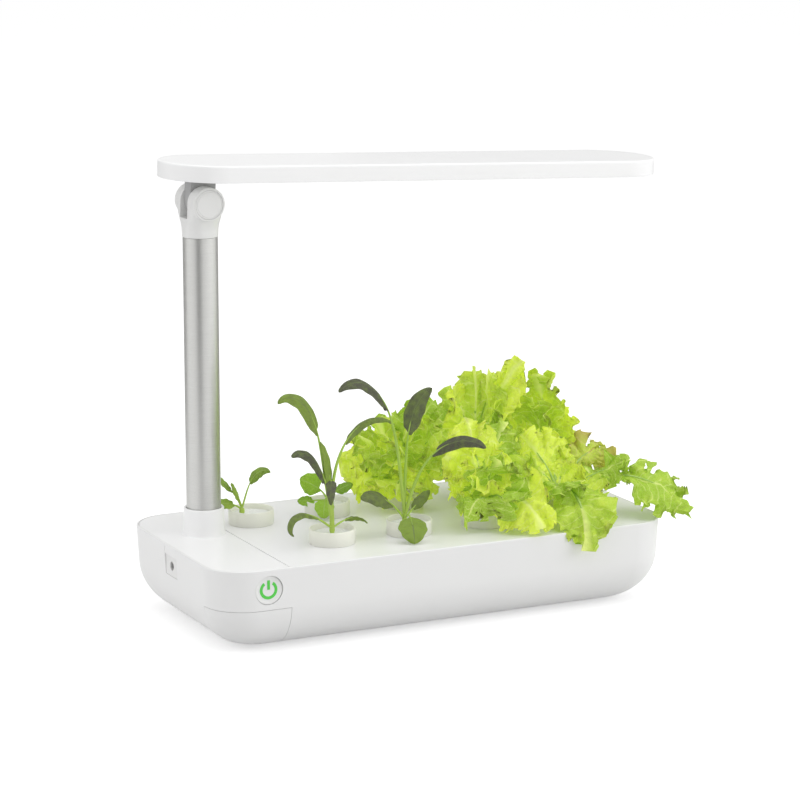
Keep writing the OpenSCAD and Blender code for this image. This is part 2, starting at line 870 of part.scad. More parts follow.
// Pod: a ring that stands on the tray and a slotted basket below it.
module pod(p) {
    slots = 6;
    slot_wide = 4;
    slot_from = basket_z + 4;
    slot_to = basket_z + 18;
    soft = 0.5;
    color("honeydew", 0.8)
    translate([p[0], p[1], 0])
        difference() {
            rotate_extrude()
                polygon([[0, basket_z], [basket_r - soft, basket_z], [basket_r, basket_z + soft],
                    [basket_r, deck_z], [ring_r, deck_z], [ring_r, rim_z - soft],
                    [ring_r - soft, rim_z], [ring_in_r, rim_z], [ring_in_r, deck_z + pod_wall],
                    [basket_in_r, deck_z + pod_wall], [basket_in_r, basket_z + pod_wall],
                    [0, basket_z + pod_wall]]);
            for (k = [0:slots / 2 - 1])
                rotate([0, 0, 360 / slots * k])
                    box([-slot_wide / 2, -2 * basket_r, slot_from],
                        [slot_wide / 2, 2 * basket_r, slot_to]);
        }
}

soft_gap = 0.3;
root_r = 1.8;
root_depth = 12;

// Growing sponge, with a hole for the root that may lie off the middle.
module sponge(p, shift = 0) {
    color("ivory")
    translate([p[0], p[1], 0])
        difference() {
            rotate_extrude()
                polygon([[0, basket_z + pod_wall + soft_gap],
                    [basket_in_r - soft_gap, basket_z + pod_wall + soft_gap],
                    [basket_in_r - soft_gap, deck_z + pod_wall + soft_gap],
                    [ring_in_r - soft_gap, deck_z + pod_wall + soft_gap],
                    [ring_in_r - soft_gap, sponge_top_z - 1], [ring_in_r - soft_gap - 1, sponge_top_z],
                    [0, sponge_top_z]]);
            translate([shift, 0, sponge_top_z - root_depth])
                cylinder(r = root_r + soft_gap, h = root_depth + over);
        }
}

// ---- Plants ----

// The lettuces stand in upright cells of their own, so that a pod lifts out
// between its neighbours. The herbs' leaves are placed clear of each other.
cell_gap = 0.6;
mid_y = (back_row_y - front_row_y) / 2;
side_reach = base_wid / 2 + 20;
end_reach = 35;
crown_up = 3;
rib_steps = 25;
leaf_rows = 5;
leaf_cols = 4;

// Angle of a leaf's midrib from upright, at share s of its length. bend holds
// the angles at root and tip, and how late the rib curls over.
function rib_angle(bend, s) = bend[0] + (bend[1] - bend[0]) * pow(s, bend[2]);
// Point k along the midrib, in the upright plane through it.
function rib_point(length, bend, k) = k == 0 ? [0, 0] :
    let (a = rib_angle(bend, (k - 0.5) / rib_steps))
    rib_point(length, bend, k - 1) + length / rib_steps * [sin(a), cos(a)];

// Outline of a leaf's blade: where it is widest and how blunt it is.
herb_blade = [0.75, 0.7];
lettuce_blade = [1.15, 0.5];
stalk_r = 1.1;

// A leaf as a thin closed shell: rows of points across the midrib, on its
// upper and lower sides.
module leaf(length, width, bend, stalk, blade, ruffle) {
    function half_width(s) = s < stalk ? stalk_r
        : stalk_r + width / 2 * pow(sin(180 * pow((s - stalk) / (1.04 - stalk), blade[0])), blade[1]);
    function skin_point(i, j, side) =
        let (s = i / leaf_rows, t = 2 * j / leaf_cols - 1, a = rib_angle(bend, s),
            w = half_width(s), c = rib_point(length, bend, i * rib_steps / leaf_rows),
            wave = ruffle * s * t * t * sin(s * 900 + 60 * sign(t)),
            cup = -w * 0.18 * t * t, n = wave + cup + side * leaf_t / 2)
        [c[0] + n * cos(a), w * t, c[1] - n * sin(a)];
    across = leaf_cols + 1;
    layer = (leaf_rows + 1) * across;
    points = [for (side = [1, -1], i = [0:leaf_rows], j = [0:leaf_cols]) skin_point(i, j, side)];
    function quad(a, b, c, d) = [[a, b, c], [a, c, d]];
    faces = [
        for (i = [0:leaf_rows - 1], j = [0:leaf_cols - 1])
            let (k = i * across + j)
            each concat(quad(k, k + across, k + across + 1, k + 1),
                quad(layer + k, layer + k + 1, layer + k + across + 1, layer + k + across)),
        for (i = [0:leaf_rows - 1])
            let (k = i * across, m = k + leaf_cols)
            each concat(quad(k, layer + k, layer + k + across, k + across),
                quad(m, m + across, layer + m + across, layer + m)),
        for (j = [0:leaf_cols - 1])
            let (k = j, m = leaf_rows * across + j)
            each concat(quad(k, k + 1, layer + k + 1, layer + k),
                quad(m, layer + m, layer + m + 1, m + 1))];
    polyhedron(points, faces);
}

// Root and crown of a plant at p, with its leaves above them.
module plant(p, tone, crown_r, crown_h) {
    color(tone)
    translate([p[0], p[1], sponge_top_z]) {
        translate([0, 0, -root_depth + soft_gap]) cylinder(r = root_r, h = root_depth, $fn = 24);
        translate([0, 0, soft_gap]) cylinder(r1 = root_r, r2 = crown_r, h = crown_h, $fn = 12);
        translate([0, 0, crown_up]) children();
    }
}

// A herb's or sprout's leaf: the way it points, its length and width as
// shares of the herbs' height, its bend, and the stalk's share of its length.
module herb_leaf(turn, long, wide, bend, stalk) {
    rotate([0, 0, turn])
        leaf(long * herb_h, wide * herb_h, bend, stalk, herb_blade, 0);
}

// A lettuce leaf that reaches tip and leaves the crown at an angle of lean
// from upright. Tip and width are shares of the lettuces' height.
module lettuce_leaf(tip, wide, lean, stalk = 0.2) {
    out = norm([tip[0], tip[1]]);
    half_turn = atan2(out, tip[2]) - lean;
    length = norm(tip) * lettuce_h * half_turn * PI / 180 / sin(half_turn);
    rotate([0, 0, atan2(tip[1], tip[0])])
        leaf(length, wide * lettuce_h, [lean, lean + 2 * half_turn, 1], stalk, lettuce_blade, 3);
}

// A lettuce cut to its cell, which runs from from_x to to_x.
module lettuce(p, from_x, to_x, tone) {
    behind = p[1] > mid_y;
    intersection() {
        plant(p, tone, 6, 8) children();
        box([from_x + cell_gap / 2, behind ? mid_y + cell_gap / 2 : -side_reach, 0],
            [to_x - cell_gap / 2, behind ? side_reach : mid_y - cell_gap / 2, tube_top_z]);
    }
}

// Cell limits between one pod of a row and the next.
function after(p) = p[0] + pod_pitch / 2;
function before(p) = p[0] - pod_pitch / 2;

module plant_b1() {
    plant(back_pod(1) + [sprout_shift, 0], "yellowgreen", 1.6, 5) {
        herb_leaf(170, 0.34, 0.05, [12, 50, 0.6], 0.45);
        herb_leaf(180, 0.22, 0.06, [13, 31, 1.3], 0.3);
        herb_leaf(-10, 0.39, 0.08, [16, 142, 4], 0.5);
        herb_leaf(168, 0.22, 0.09, [38, 100, 0.7], 0.3);
    }
}

module plant_b2() {
    plant(back_pod(2), "forestgreen", 1.6, 5) {
        herb_leaf(180, 0.27, 0.19, [30, 90, 2.9], 0.35);
        herb_leaf(165, 0.22, 0.08, [60, 78, 1], 0.4);
        herb_leaf(232, 0.26, 0.15, [50, 150, 1.6], 0.45);
        herb_leaf(-10, 0.22, 0.08, [40, 80, 1], 0.4);
    }
}

module plant_b3() {
    lettuce(back_pod(3), before(back_pod(3)) - pod_pitch / 6, after(back_pod(3)), "yellowgreen") {
        lettuce_leaf([-0.05, 0, 0.62], 0.42, -6);
        lettuce_leaf([-0.29, 0.06, 0.41], 0.45, 8);
        lettuce_leaf([-0.35, 0.28, 0.16], 0.45, 30);
        lettuce_leaf([0.21, 0.26, 0.54], 0.45, 4);
        lettuce_leaf([-0.11, -0.3, 0.37], 0.45, 12);
        lettuce_leaf([0.2, -0.3, 0.5], 0.45, 8);
        lettuce_leaf([0.26, 0, 0.63], 0.42, 2);
        lettuce_leaf([-0.1, 0.4, 0.41], 0.45, 12);
        lettuce_leaf([-0.15, -0.33, 0.12], 0.4, 30);
        lettuce_leaf([0.22, -0.3, 0.2], 0.4, 28);
    }
}

module plant_b4() {
    lettuce(back_pod(4), before(back_pod(4)), after(back_pod(4)), "greenyellow") {
        lettuce_leaf([0.24, -0.24, 0.97], 0.42, 0.5);
        lettuce_leaf([-0.06, -0.03, 0.88], 0.4, -8);
        lettuce_leaf([-0.2, -0.03, 0.76], 0.4, 2);
        lettuce_leaf([0.25, 0.04, 0.64], 0.45, 8);
        lettuce_leaf([0.05, 0.4, 0.64], 0.5, 10);
        lettuce_leaf([-0.22, 0.31, 0.5], 0.5, 12);
        lettuce_leaf([-0.05, -0.33, 0.55], 0.5, 10);
        lettuce_leaf([0.23, -0.33, 0.36], 0.5, 22);
        lettuce_leaf([0.23, 0.36, 0.36], 0.5, 22);
        lettuce_leaf([-0.22, -0.3, 0.3], 0.45, 24);
    }
}

module plant_b5() {
    lettuce(back_pod(5), before(back_pod(5)), base_len / 2 + end_reach, "yellowgreen") {
        lettuce_leaf([-0.05, 0, 0.8], 0.42, -6);
        lettuce_leaf([0.2, 0, 0.48], 0.42, 12);
        lettuce_leaf([0.42, -0.22, 0.26], 0.26, 35);
        lettuce_leaf([-0.2, -0.15, 0.78], 0.42, 2);
        lettuce_leaf([-0.07, 0.4, 0.55], 0.45, 10);
        lettuce_leaf([0.3, 0.31, 0.32], 0.45, 22);
        lettuce_leaf([-0.07, -0.34, 0.41], 0.45, 12);
        lettuce_leaf([0.43, 0.1, 0.14], 0.4, 42);
        lettuce_leaf([-0.28, -0.2, 0.35], 0.42, 20);
        lettuce_leaf([0.2, -0.32, 0.15], 0.42, 30);
    }
}

module plant_f1() {
    plant(front_pod(1), "olivedrab", 2, 5) {
        herb_leaf(165, 1.1, 0.1, [8, 150, 6.9], 0.6);
        herb_leaf(175, 0.62, 0.06, [2, 30, 4], 0.45);
        herb_leaf(12, 1.08, 0.07, [0, 134, 2.2], 0.55);
        herb_leaf(190, 0.73, 0.08, [9, 122, 3.7], 0.45);
        herb_leaf(200, 0.55, 0.055, [55, 250, 3.4], 0.3);
        herb_leaf(15, 0.34, 0.04, [66, 140, 1.8], 0.35);
        herb_leaf(244, 0.54, 0.06, [1, 178, 5], 0.7);
    }
}

module plant_f2() {
    plant(front_pod(2) + [herb_shift, 0], "olivedrab", 2, 5) {
        herb_leaf(195, 1.35, 0.09, [7, 132, 3.7], 0.6);
        herb_leaf(-10, 0.95, 0.13, [2, 68, 5.2], 0.62);
        herb_leaf(-45, 0.94, 0.09, [15, 124, 2.3], 0.55);
        herb_leaf(193, 0.46, 0.13, [38, 104, 1.8], 0.35);
        herb_leaf(20, 0.32, 0.09, [50, 62, 1], 0.35);
        herb_leaf(272, 0.3, 0.19, [40, 172, 1.6], 0.4);
    }
}

// The herb before it leans a leaf over this lettuce's front left corner.
module plant_f3() {
    lean_over = [front_pod(3)[0] - 12, -base_wid / 2 + 26];
    difference() {
        lettuce(front_pod(3), before(front_pod(3)), after(front_pod(3)), "greenyellow") {
            lettuce_leaf([-0.09, 0.14, 0.64], 0.42, 4);
            lettuce_leaf([0.2, 0.09, 0.64], 0.42, 4);
            lettuce_leaf([-0.03, -0.43, -0.04], 0.48, 30);
            lettuce_leaf([0.23, -0.36, 0.14], 0.45, 25);
            lettuce_leaf([-0.24, -0.12, 0.37], 0.4, 18);
            lettuce_leaf([0.02, 0.34, 0.5], 0.42, 12);
            lettuce_leaf([-0.05, -0.25, 0.42], 0.42, 12);
            lettuce_leaf([-0.27, 0.12, 0.4], 0.42, 12);
            lettuce_leaf([-0.2, -0.28, 0.08], 0.42, 30);
            lettuce_leaf([0.24, 0.2, 0.35], 0.42, 14);
        }
        box([before(front_pod(3)) - over, -side_reach - over, 0],
            [lean_over[0], lean_over[1], tube_top_z]);
    }
}

module plant_f4() {
    lettuce(front_pod(4), before(front_pod(4)), base_len / 2 + end_reach, "yellowgreen") {
        lettuce_leaf([0.06, -0.04, 0.68], 0.42, 0);
        lettuce_leaf([-0.08, -0.56, -0.03], 0.46, 35);
        lettuce_leaf([0.91, -0.41, 0], 0.4, 33, 0.4);
        lettuce_leaf([0.34, 0.32, 0.46], 0.42, 18);
        lettuce_leaf([-0.25, 0.1, 0.55], 0.42, 10);
        lettuce_leaf([-0.22, -0.36, 0.18], 0.45, 25);
        lettuce_leaf([0.39, -0.32, 0.22], 0.42, 28);
        lettuce_leaf([-0.02, 0.34, 0.55], 0.42, 10);
        lettuce_leaf([-0.26, -0.05, 0.3], 0.42, 14);
        lettuce_leaf([0.2, -0.34, 0.05], 0.42, 30);
        lettuce_leaf([0.36, 0.1, 0.2], 0.4, 30);
    }
}

base_hull();
rubber_feet();
control_cover();
deck_plate();
deck_screws();
grow_tray();
power_button();
button_icon();
button_switch();
inlet_plate();
inlet_jack();
control_board();
board_parts();
mast_tube();
mast_foot();
mast_screw();
mast_head();
mast_cable();
hinge_pin();
hinge_caps();
hinge_washers();
lamp_bracket();
bracket_screws();
lamp_housing();
lamp_end_cover();
lamp_diffuser();
led_board();
leds();
lamp_cable();
pod(back_pod(1));  // pod_b1
pod(back_pod(2));  // pod_b2
pod(back_pod(3));  // pod_b3
pod(back_pod(4));  // pod_b4
pod(back_pod(5));  // pod_b5
pod(front_pod(1));  // pod_f1
pod(front_pod(2));  // pod_f2
pod(front_pod(3));  // pod_f3
pod(front_pod(4));  // pod_f4
sponge(back_pod(1), sprout_shift);  // sponge_b1
sponge(back_pod(2));  // sponge_b2
sponge(back_pod(3));  // sponge_b3
sponge(back_pod(4));  // sponge_b4
sponge(back_pod(5));  // sponge_b5
sponge(front_pod(1));  // sponge_f1
sponge(front_pod(2), herb_shift);  // sponge_f2
sponge(front_pod(3));  // sponge_f3
sponge(front_pod(4));  // sponge_f4
plant_b1();
plant_b2();
plant_b3();
plant_b4();
plant_b5();
plant_f1();
plant_f2();
plant_f3();
plant_f4();
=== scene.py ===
"""Countertop hydroponic garden: its shown shapes, plants and finishes, over the fixed model."""

import json
import math
import random

import bmesh
import bpy
from mathutils import Matrix, Vector, noise


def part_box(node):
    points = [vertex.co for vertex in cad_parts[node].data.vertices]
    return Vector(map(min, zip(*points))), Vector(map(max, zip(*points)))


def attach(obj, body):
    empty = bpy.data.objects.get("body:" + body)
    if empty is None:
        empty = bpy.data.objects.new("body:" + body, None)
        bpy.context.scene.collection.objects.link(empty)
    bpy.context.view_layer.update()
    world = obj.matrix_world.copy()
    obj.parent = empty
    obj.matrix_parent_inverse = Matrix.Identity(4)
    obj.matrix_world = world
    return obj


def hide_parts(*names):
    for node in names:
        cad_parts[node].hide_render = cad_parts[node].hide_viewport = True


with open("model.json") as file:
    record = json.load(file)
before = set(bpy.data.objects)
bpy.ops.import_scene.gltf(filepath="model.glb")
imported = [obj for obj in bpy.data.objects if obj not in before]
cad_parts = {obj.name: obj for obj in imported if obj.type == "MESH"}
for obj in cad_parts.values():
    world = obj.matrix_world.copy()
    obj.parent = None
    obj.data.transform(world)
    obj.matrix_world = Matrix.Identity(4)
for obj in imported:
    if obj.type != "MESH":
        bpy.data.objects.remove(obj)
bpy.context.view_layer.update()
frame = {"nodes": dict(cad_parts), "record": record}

SLOTS = {part["node"]: part["material_slot"] for part in frame["record"]["subparts"]}
FINISHES = {}
MM = 0.001
QUARTER = math.pi / 2

# Sizes of the housings, in millimetres, as in the part's source.
BASE_LEN, BASE_WID, HULL_H, FOOT_H = 400, 200, 68.5, 1.2
DECK_Z = FOOT_H + HULL_H
CORNER_R, WALL_SLOPE, BILGE_W, BILGE_H = 34, 0.05, 36, 38
WALL_T, FLOOR_T, PLATE_T, RIM_W, PLATE_GAP, SEAM_GAP = 3.2, 2.8, 3, 1.6, 0.3, 0.6
LEFT_X = -BASE_LEN / 2
FRONT_Y = -BASE_WID / 2
SEAM_X = LEFT_X + 59
FAR = 400  # well outside the object, for the blocks that cut it
FAR_LOW = (-FAR, -FAR, -FAR)
COVER_X, COVER_Y, COVER_Z, COVER_GAP = LEFT_X + 61, FRONT_Y + 35, FOOT_H + 36, 0.3
BUTTON_X, BUTTON_Z, BUTTON_HOLE_R = LEFT_X + 41.5, FOOT_H + 52, 11.6
INLET_W, INLET_H, INLET_Z = 24.5, 16.5, FOOT_H + 52
FOOT_PLACES = [(0, 0)] + [(x, y) for x in (-142, 142) for y in (-44, 44)]
SCREW_PLACES = [(SEAM_X - 9, FRONT_Y + 46), (SEAM_X - 9, -FRONT_Y - 42)]

MAST_X, MAST_Y, TUBE_R, TUBE_WALL = LEFT_X + 40, 26.4, 13.8, 1.5
TUBE_TOP, SOCKET_Z = DECK_Z + 239.5, DECK_Z - 36
COLLAR_R, COLLAR_BASE_R, COLLAR_H = 16.2, 17, 22
HINGE_Z, EAR_R, HEAD_WID, SLOT_W, SLOT_BELOW = TUBE_TOP + 27, 13.3, 40, 14.4, 12
NECK_R, CAP_R, CAP_T = 14.1, 11.4, 2
LAMP_LEN, LAMP_WID, LAMP_T, LAMP_WALL = 436.4, 82.5, 13.4, 1.8
LAMP_LEFT, LAMP_Z, LAMP_DROOP = MAST_X - 33.3, HINGE_Z + 19.2, math.radians(2.64)
LAMP_MID_X = LAMP_LEFT + LAMP_LEN / 2
END_COVER_X = LAMP_LEFT + 76

RING_R, RING_H, POD_WALL, BASKET_R, BASKET_DEPTH = 18.45, 12, 1.4, 16.8, 42
SPONGE_Z = DECK_Z + RING_H - 4
POD_PITCH, BACK_Y, FRONT_ROW_Y = 67.6, 41, -45.2
PODS = {f"b{k + 1}": (LEFT_X + 87.2 + k * POD_PITCH, BACK_Y) for k in range(5)}
PODS.update({f"f{k + 1}": (LEFT_X + 119.4 + k * POD_PITCH, FRONT_ROW_Y) for k in range(4)})


# ---- Camera, light and floor ----

CAMERA_PLACE, CAMERA_DOWN, CAMERA_TURN = (-1.06965, -2.18854, 0.68247), 0.208, -0.455
WORLD_LIGHT = 0.70

# Soft lamps: place, target and size in metres, and power.
LIGHTS = {
    "top": ((0.1, -0.1, 1.9), (0, 0, 0), (2.4, 2.0), 13.5),
    "left": ((-2.15, 0.45, 1.2), (-0.1, 0, 0.1), (1.4, 1.4), 9),
    "front": ((1.75, -1.95, 1.2), (0, 0, 0.15), (1.6, 1.4), 17),
    "right": ((2.2, -0.7, 1.0), (0, 0, 0.1), (1.2, 1.2), 6),
}
# Grey cards round the object: place and width in metres, and grey.
CARDS = {
    "front_card": ((-0.49, -0.47), 0.34, 0.22),
    "left_card": ((-0.41, 0.59), 0.55, 0.5),
    "right_card": ((0.34, 0.32), 0.5, 0.5),
    "back_card": ((0.12, 0.64), 0.45, 0.62),
}


def aim_camera():
    """The camera stands in front of the left end and looks a little down."""
    data = bpy.data.cameras.new("camera")
    data.lens, data.sensor_width = 139.0, 36
    data.clip_start, data.clip_end = 0.05, 50
    camera = bpy.data.objects.new("camera", data)
    bpy.context.scene.collection.objects.link(camera)
    camera.location = CAMERA_PLACE
    camera.rotation_euler = (QUARTER - CAMERA_DOWN, 0, CAMERA_TURN)
    bpy.context.scene.camera = camera


def area_light(name, place, target, size, power):
    data = bpy.data.lights.new(name, "AREA")
    data.shape, data.size, data.size_y = "RECTANGLE", size[0], size[1]
    data.energy = power
    light = bpy.data.objects.new(name, data)
    bpy.context.scene.collection.objects.link(light)
    light.location = place
    light.rotation_euler = (Vector(target) - Vector(place)).to_track_quat("-Z", "Y").to_euler()


def seen_or_mirrored(tree, path):
    """1 for what the camera or a glossy surface looks at, otherwise 0."""
    return maths(tree, "MAXIMUM", path.outputs["Is Camera Ray"], path.outputs["Is Glossy Ray"])


def light_world(strength):
    """White surroundings: full white for sight and gloss, weaker for the light they give."""
    world = bpy.data.worlds.new("studio")
    bpy.context.scene.world = world
    world.use_nodes = True
    tree = world.node_tree
    tree.nodes.clear()
    path = tree.nodes.new("ShaderNodeLightPath")
    seen = maths(tree, "MAXIMUM", seen_or_mirrored(tree, path), path.outputs["Is Transmission Ray"])
    level = add_node(tree, "ShaderNodeMapRange", {"Value": seen, "To Min": strength, "To Max": 1.0})
    back = add_node(tree, "ShaderNodeBackground", {"Color": (1, 1, 1, 1), "Strength": level})
    out = tree.nodes.new("ShaderNodeOutputWorld")
    tree.links.new(back, out.inputs["Surface"])


def lay_floor():
    """A white table top that keeps the object's shadow."""
    clear_selection()
    bpy.ops.mesh.primitive_plane_add(size=12, location=(0, 0, 0))
    floor = bpy.context.object
    floor.name = "floor"
    mat, tree = new_material("white_table")
    path = tree.nodes.new("ShaderNodeLightPath")
    plain = add_node(tree, "ShaderNodeBsdfDiffuse", {"Color": (0.70, 0.70, 0.70, 1)})
    lit = add_node(tree, "ShaderNodeBsdfDiffuse", {"Color": (0.62, 0.62, 0.62, 1)})
    glow = add_node(tree, "ShaderNodeEmission", {"Color": (1, 1, 1, 1), "Strength": 0.56})
    shown = add_node(tree, "ShaderNodeAddShader", {0: lit, 1: glow})
    floor.data.materials.append(close_material(mat, add_node(
        tree, "ShaderNodeMixShader", {0: seen_or_mirrored(tree, path), 1: plain, 2: shown})))


def grey_card(name, place, width, grey):
    """An upright grey panel, turned to the mast, that only gloss can see."""
    height = 0.8
    clear_selection()
    bpy.ops.mesh.primitive_plane_add(size=1, location=(place[0], place[1], height / 2))
    card = bpy.context.object
    card.name = name
    card.scale = (width, height, 1)
    card.rotation_euler = (QUARTER, 0, math.atan2(place[0] - MAST_X * MM, MAST_Y * MM - place[1]))
    mat, tree = new_material(name)
    card.data.materials.append(close_material(mat, skin_of(tree, (grey, grey, grey, 1), 0.9)))
    card.visible_camera = card.visible_diffuse = card.visible_shadow = False
    card.visible_transmission = card.visible_volume_scatter = False


# ---- Nodes and materials ----


def add_node(tree, kind, links=None, out=0, **settings):
    """Adds a node, sets or links its inputs, and gives the output asked for."""
    made = tree.nodes.new(kind)
    for key, value in settings.items():
        setattr(made, key, value)
    for socket, value in (links or {}).items():
        if isinstance(value, bpy.types.NodeSocket):
            tree.links.new(value, made.inputs[socket])
        else:
            made.inputs[socket].default_value = value
    return made.outputs[out]


def new_material(name):
    mat = bpy.data.materials.new(name)
    mat.use_nodes = True
    mat.node_tree.nodes.clear()
    return mat, mat.node_tree


def close_material(mat, shader):
    out = mat.node_tree.nodes.new("ShaderNodeOutputMaterial")
    mat.node_tree.links.new(shader, out.inputs["Surface"])
    return mat


def object_place(tree):
    return add_node(tree, "ShaderNodeTexCoord", out=3)


def fine_noise(tree, scale, detail=2, place=None):
    return add_node(tree, "ShaderNodeTexNoise",
                    {"Vector": place or object_place(tree), "Scale": scale, "Detail": detail})


def streaks(tree, scale, detail):
    """Noise drawn out by a scale of its own along each axis."""
    drawn = add_node(tree, "ShaderNodeMapping", {"Vector": object_place(tree), "Scale": scale})
    return fine_noise(tree, 1.0, detail, drawn)


def maths(tree, operation, first, second=None):
    links = {0: first} if second is None else {0: first, 1: second}
    return add_node(tree, "ShaderNodeMath", links, operation=operation)


def remap(tree, value, low, high, from_low=0.0, from_high=1.0):
    """Turns the range from_low to from_high of a value into the range low to high."""
    return add_node(tree, "ShaderNodeMapRange", {
        "Value": value, "From Min": from_low, "From Max": from_high, "To Min": low, "To Max": high})


def mix_colour(tree, share, first, second):
    return add_node(tree, "ShaderNodeMix", {0: share, 6: first, 7: second}, out=2, data_type="RGBA")


def two_tones(tree, share, colour, dark):
    """A colour that goes down to a darker shade of itself."""
    return mix_colour(tree, share, (*(c * dark for c in colour), 1), (*colour, 1))


def bumped(tree, height, distance, strength=1.0):
    return add_node(tree, "ShaderNodeBump",
                    {"Height": height, "Distance": distance, "Strength": strength})


def skin_of(tree, tone, rough, bump=None, more=None):
    links = {"Base Color": tone, "Roughness": rough, **(more or {})}
    if bump is not None:
        links["Normal"] = bump
    return add_node(tree, "ShaderNodeBsdfPrincipled", links)


def lit_through(tree, skin, share, tone, bump=None):
    """Lets a share of the light through a thin piece."""
    links = {"Color": tone}
    if bump is not None:
        links["Normal"] = bump
    inner = add_node(tree, "ShaderNodeBsdfTranslucent", links)
    return add_node(tree, "ShaderNodeMixShader", {0: share, 1: skin, 2: inner})


def moulded_plastic(name, colour, rough, grain=240, specular=0.5):
    """Moulded plastic: a faint mottle, uneven gloss and a fine spark-eroded grain."""
    mat, tree = new_material(name)
    place = object_place(tree)
    tone = two_tones(tree, fine_noise(tree, 35, 3, place), colour, 0.98)
    gloss = remap(tree, fine_noise(tree, 30, 2, place), rough - 0.01, rough + 0.015, 0.3, 0.7)
    bump = bumped(tree, fine_noise(tree, grain, 2, place), 0.000008, 0.6)
    return close_material(mat, skin_of(tree, tone, gloss, bump, {"Specular IOR Level": specular}))


def brushed_aluminium(name, low, high):
    """Satin anodised tube: fine lines round the tube and a soft, even sheen."""
    mat, tree = new_material(name)
    lines = streaks(tree, (60, 60, 2600), 4)
    blend = maths(tree, "MULTIPLY", lines, fine_noise(tree, 2200, 2))
    tone = mix_colour(tree, remap(tree, blend, 0, 1, 0.12, 0.4), (*low, 1), (*high, 1))
    gloss = remap(tree, lines, 0.34, 0.46, 0.3, 0.7)
    bump = bumped(tree, blend, 0.00002, 0.7)
    return close_material(mat, skin_of(tree, tone, gloss, bump, {"Metallic": 1.0}))


def bare_metal(name, colour, rough):
    mat, tree = new_material(name)
    gloss = remap(tree, fine_noise(tree, 700, 3), rough - 0.06, rough + 0.1, 0.3, 0.7)
    bump = bumped(tree, fine_noise(tree, 1500, 2), 0.00002)
    tone = two_tones(tree, fine_noise(tree, 300, 2), colour, 0.85)
    return close_material(mat, skin_of(tree, tone, gloss, bump, {"Metallic": 1.0}))


def frosted_plastic(name, colour, through):
    """Milky plastic that lets soft light through."""
    mat, tree = new_material(name)
    tone = two_tones(tree, fine_noise(tree, 60, 3), colour, 0.94)
    bump = bumped(tree, fine_noise(tree, 900, 2), 0.00003)
    skin = skin_of(tree, tone, 0.4, bump)
    return close_material(mat, lit_through(tree, skin, through, tone, bump))


def glowing_sign(name, colour, strength):
    mat, tree = new_material(name)
    tone = two_tones(tree, fine_noise(tree, 900, 2), colour, 0.9)
    glow = {"Emission Color": (*colour, 1), "Emission Strength": strength}
    return close_material(mat, skin_of(tree, tone, 0.35, more=glow))


def open_foam(name, colour):
    mat, tree = new_material(name)
    pores = add_node(tree, "ShaderNodeTexVoronoi", {"Vector": object_place(tree), "Scale": 1300})
    # The pores' hollows are painted darker: painted shade.
    tone = two_tones(tree, remap(tree, pores, 0, 1, 0.1, 0.7), colour, 0.8)
    return close_material(mat, skin_of(tree, tone, 0.9, bumped(tree, pores, 0.0003, 0.8)))


def side_ribs(tree, place, along, side, show):
    """Ribs that run outwards and forwards from the midrib, a little unevenly."""
    slope, ribs, uneven = 0.22, 62.0, 0.03
    slant = maths(tree, "ADD", maths(tree, "MULTIPLY", side, -slope), along)
    slant = maths(tree, "ADD", slant, remap(tree, fine_noise(tree, 120, 2, place), -uneven, uneven))
    wave = maths(tree, "SINE", maths(tree, "MULTIPLY", slant, ribs))
    return remap(tree, wave, 0, show, 0.86, 1.0)


def leaf_skin(name, deep, bright, rib, through=0.42, net=520, net_share=0.35, ribs_show=0.55,
              patch=70, patches_from=(0.55, 1.3), blush=None, glow=0.0):
    """Leaf: patches of two greens, pale ribs and a fine net of veins, lit through from behind.
    blush is a colour for the leaf's edge and tip, and glow a painted glow: light the leaf gives off by
    itself, to lighten it."""
    mat, tree = new_material(name)
    place = object_place(tree)
    along, across, own = (add_node(tree, "ShaderNodeAttribute", attribute_name=layer, out=2)
                          for layer in ("along", "across", "tone"))
    side = maths(tree, "ABSOLUTE", across)

    patches = maths(tree, "ADD", fine_noise(tree, patch, 3, place), own)
    tone = mix_colour(tree, remap(tree, patches, 0, 1, *patches_from), (*deep, 1), (*bright, 1))
    if blush:
        edge = remap(tree, maths(tree, "ADD", side, along), 0, 0.6, 1.05, 1.8)
        tone = mix_colour(tree, maths(tree, "MULTIPLY", edge, own), tone, (*blush, 1))

    midrib = remap(tree, side, 1.0, 0.0, 0.0, 0.09)
    cells = add_node(tree, "ShaderNodeTexVoronoi", {"Vector": place, "Scale": net},
                     feature="DISTANCE_TO_EDGE")
    web = remap(tree, cells, net_share, 0.0, 0.0, 0.12)
    lines = maths(tree, "MAXIMUM", side_ribs(tree, place, along, side, ribs_show), midrib)
    lines = maths(tree, "MAXIMUM", lines, web)
    tone = mix_colour(tree, lines, tone, (*rib, 1))

    height = maths(tree, "SUBTRACT", remap(tree, cells, 0, 1, 0, 0.3), lines)
    bump = bumped(tree, height, 0.00035, 0.55)
    # glow is painted light: the leaf gives off light in its own colour.
    skin = skin_of(tree, tone, 0.42, bump, {"Specular IOR Level": 0.45, "Emission Color": tone,
                                            "Emission Strength": glow})
    return close_material(mat, lit_through(tree, skin, through, tone, bump))


def juicy_stalk(name, low, high):
    """Stalk: pale at the root, greener above, with fine lines along it."""
    mat, tree = new_material(name)
    along = add_node(tree, "ShaderNodeAttribute", attribute_name="along", out=2)
    lines = streaks(tree, (900, 900, 60), 2)
    shift = maths(tree, "ADD", along, remap(tree, lines, -0.12, 0.12))
    tone = mix_colour(tree, shift, (*low, 1), (*high, 1))
    skin = skin_of(tree, tone, 0.38, bumped(tree, lines, 0.0001, 0.4))
    return close_material(mat, lit_through(tree, skin, 0.3, tone))


# ---- Modelling ----

CORE = 0.001  # how far a turned shape's points on the axis stand off it, in millimetres


def arc(steps, turn=QUARTER):
    """Angles at equal steps from 0 to turn."""
    return [turn * k / steps for k in range(steps + 1)]


def clamp(value):
    return min(1, max(0, value))


def ease(share):
    """A share from 0 to 1 with a soft start and end."""
    return share * share * (3 - 2 * share)


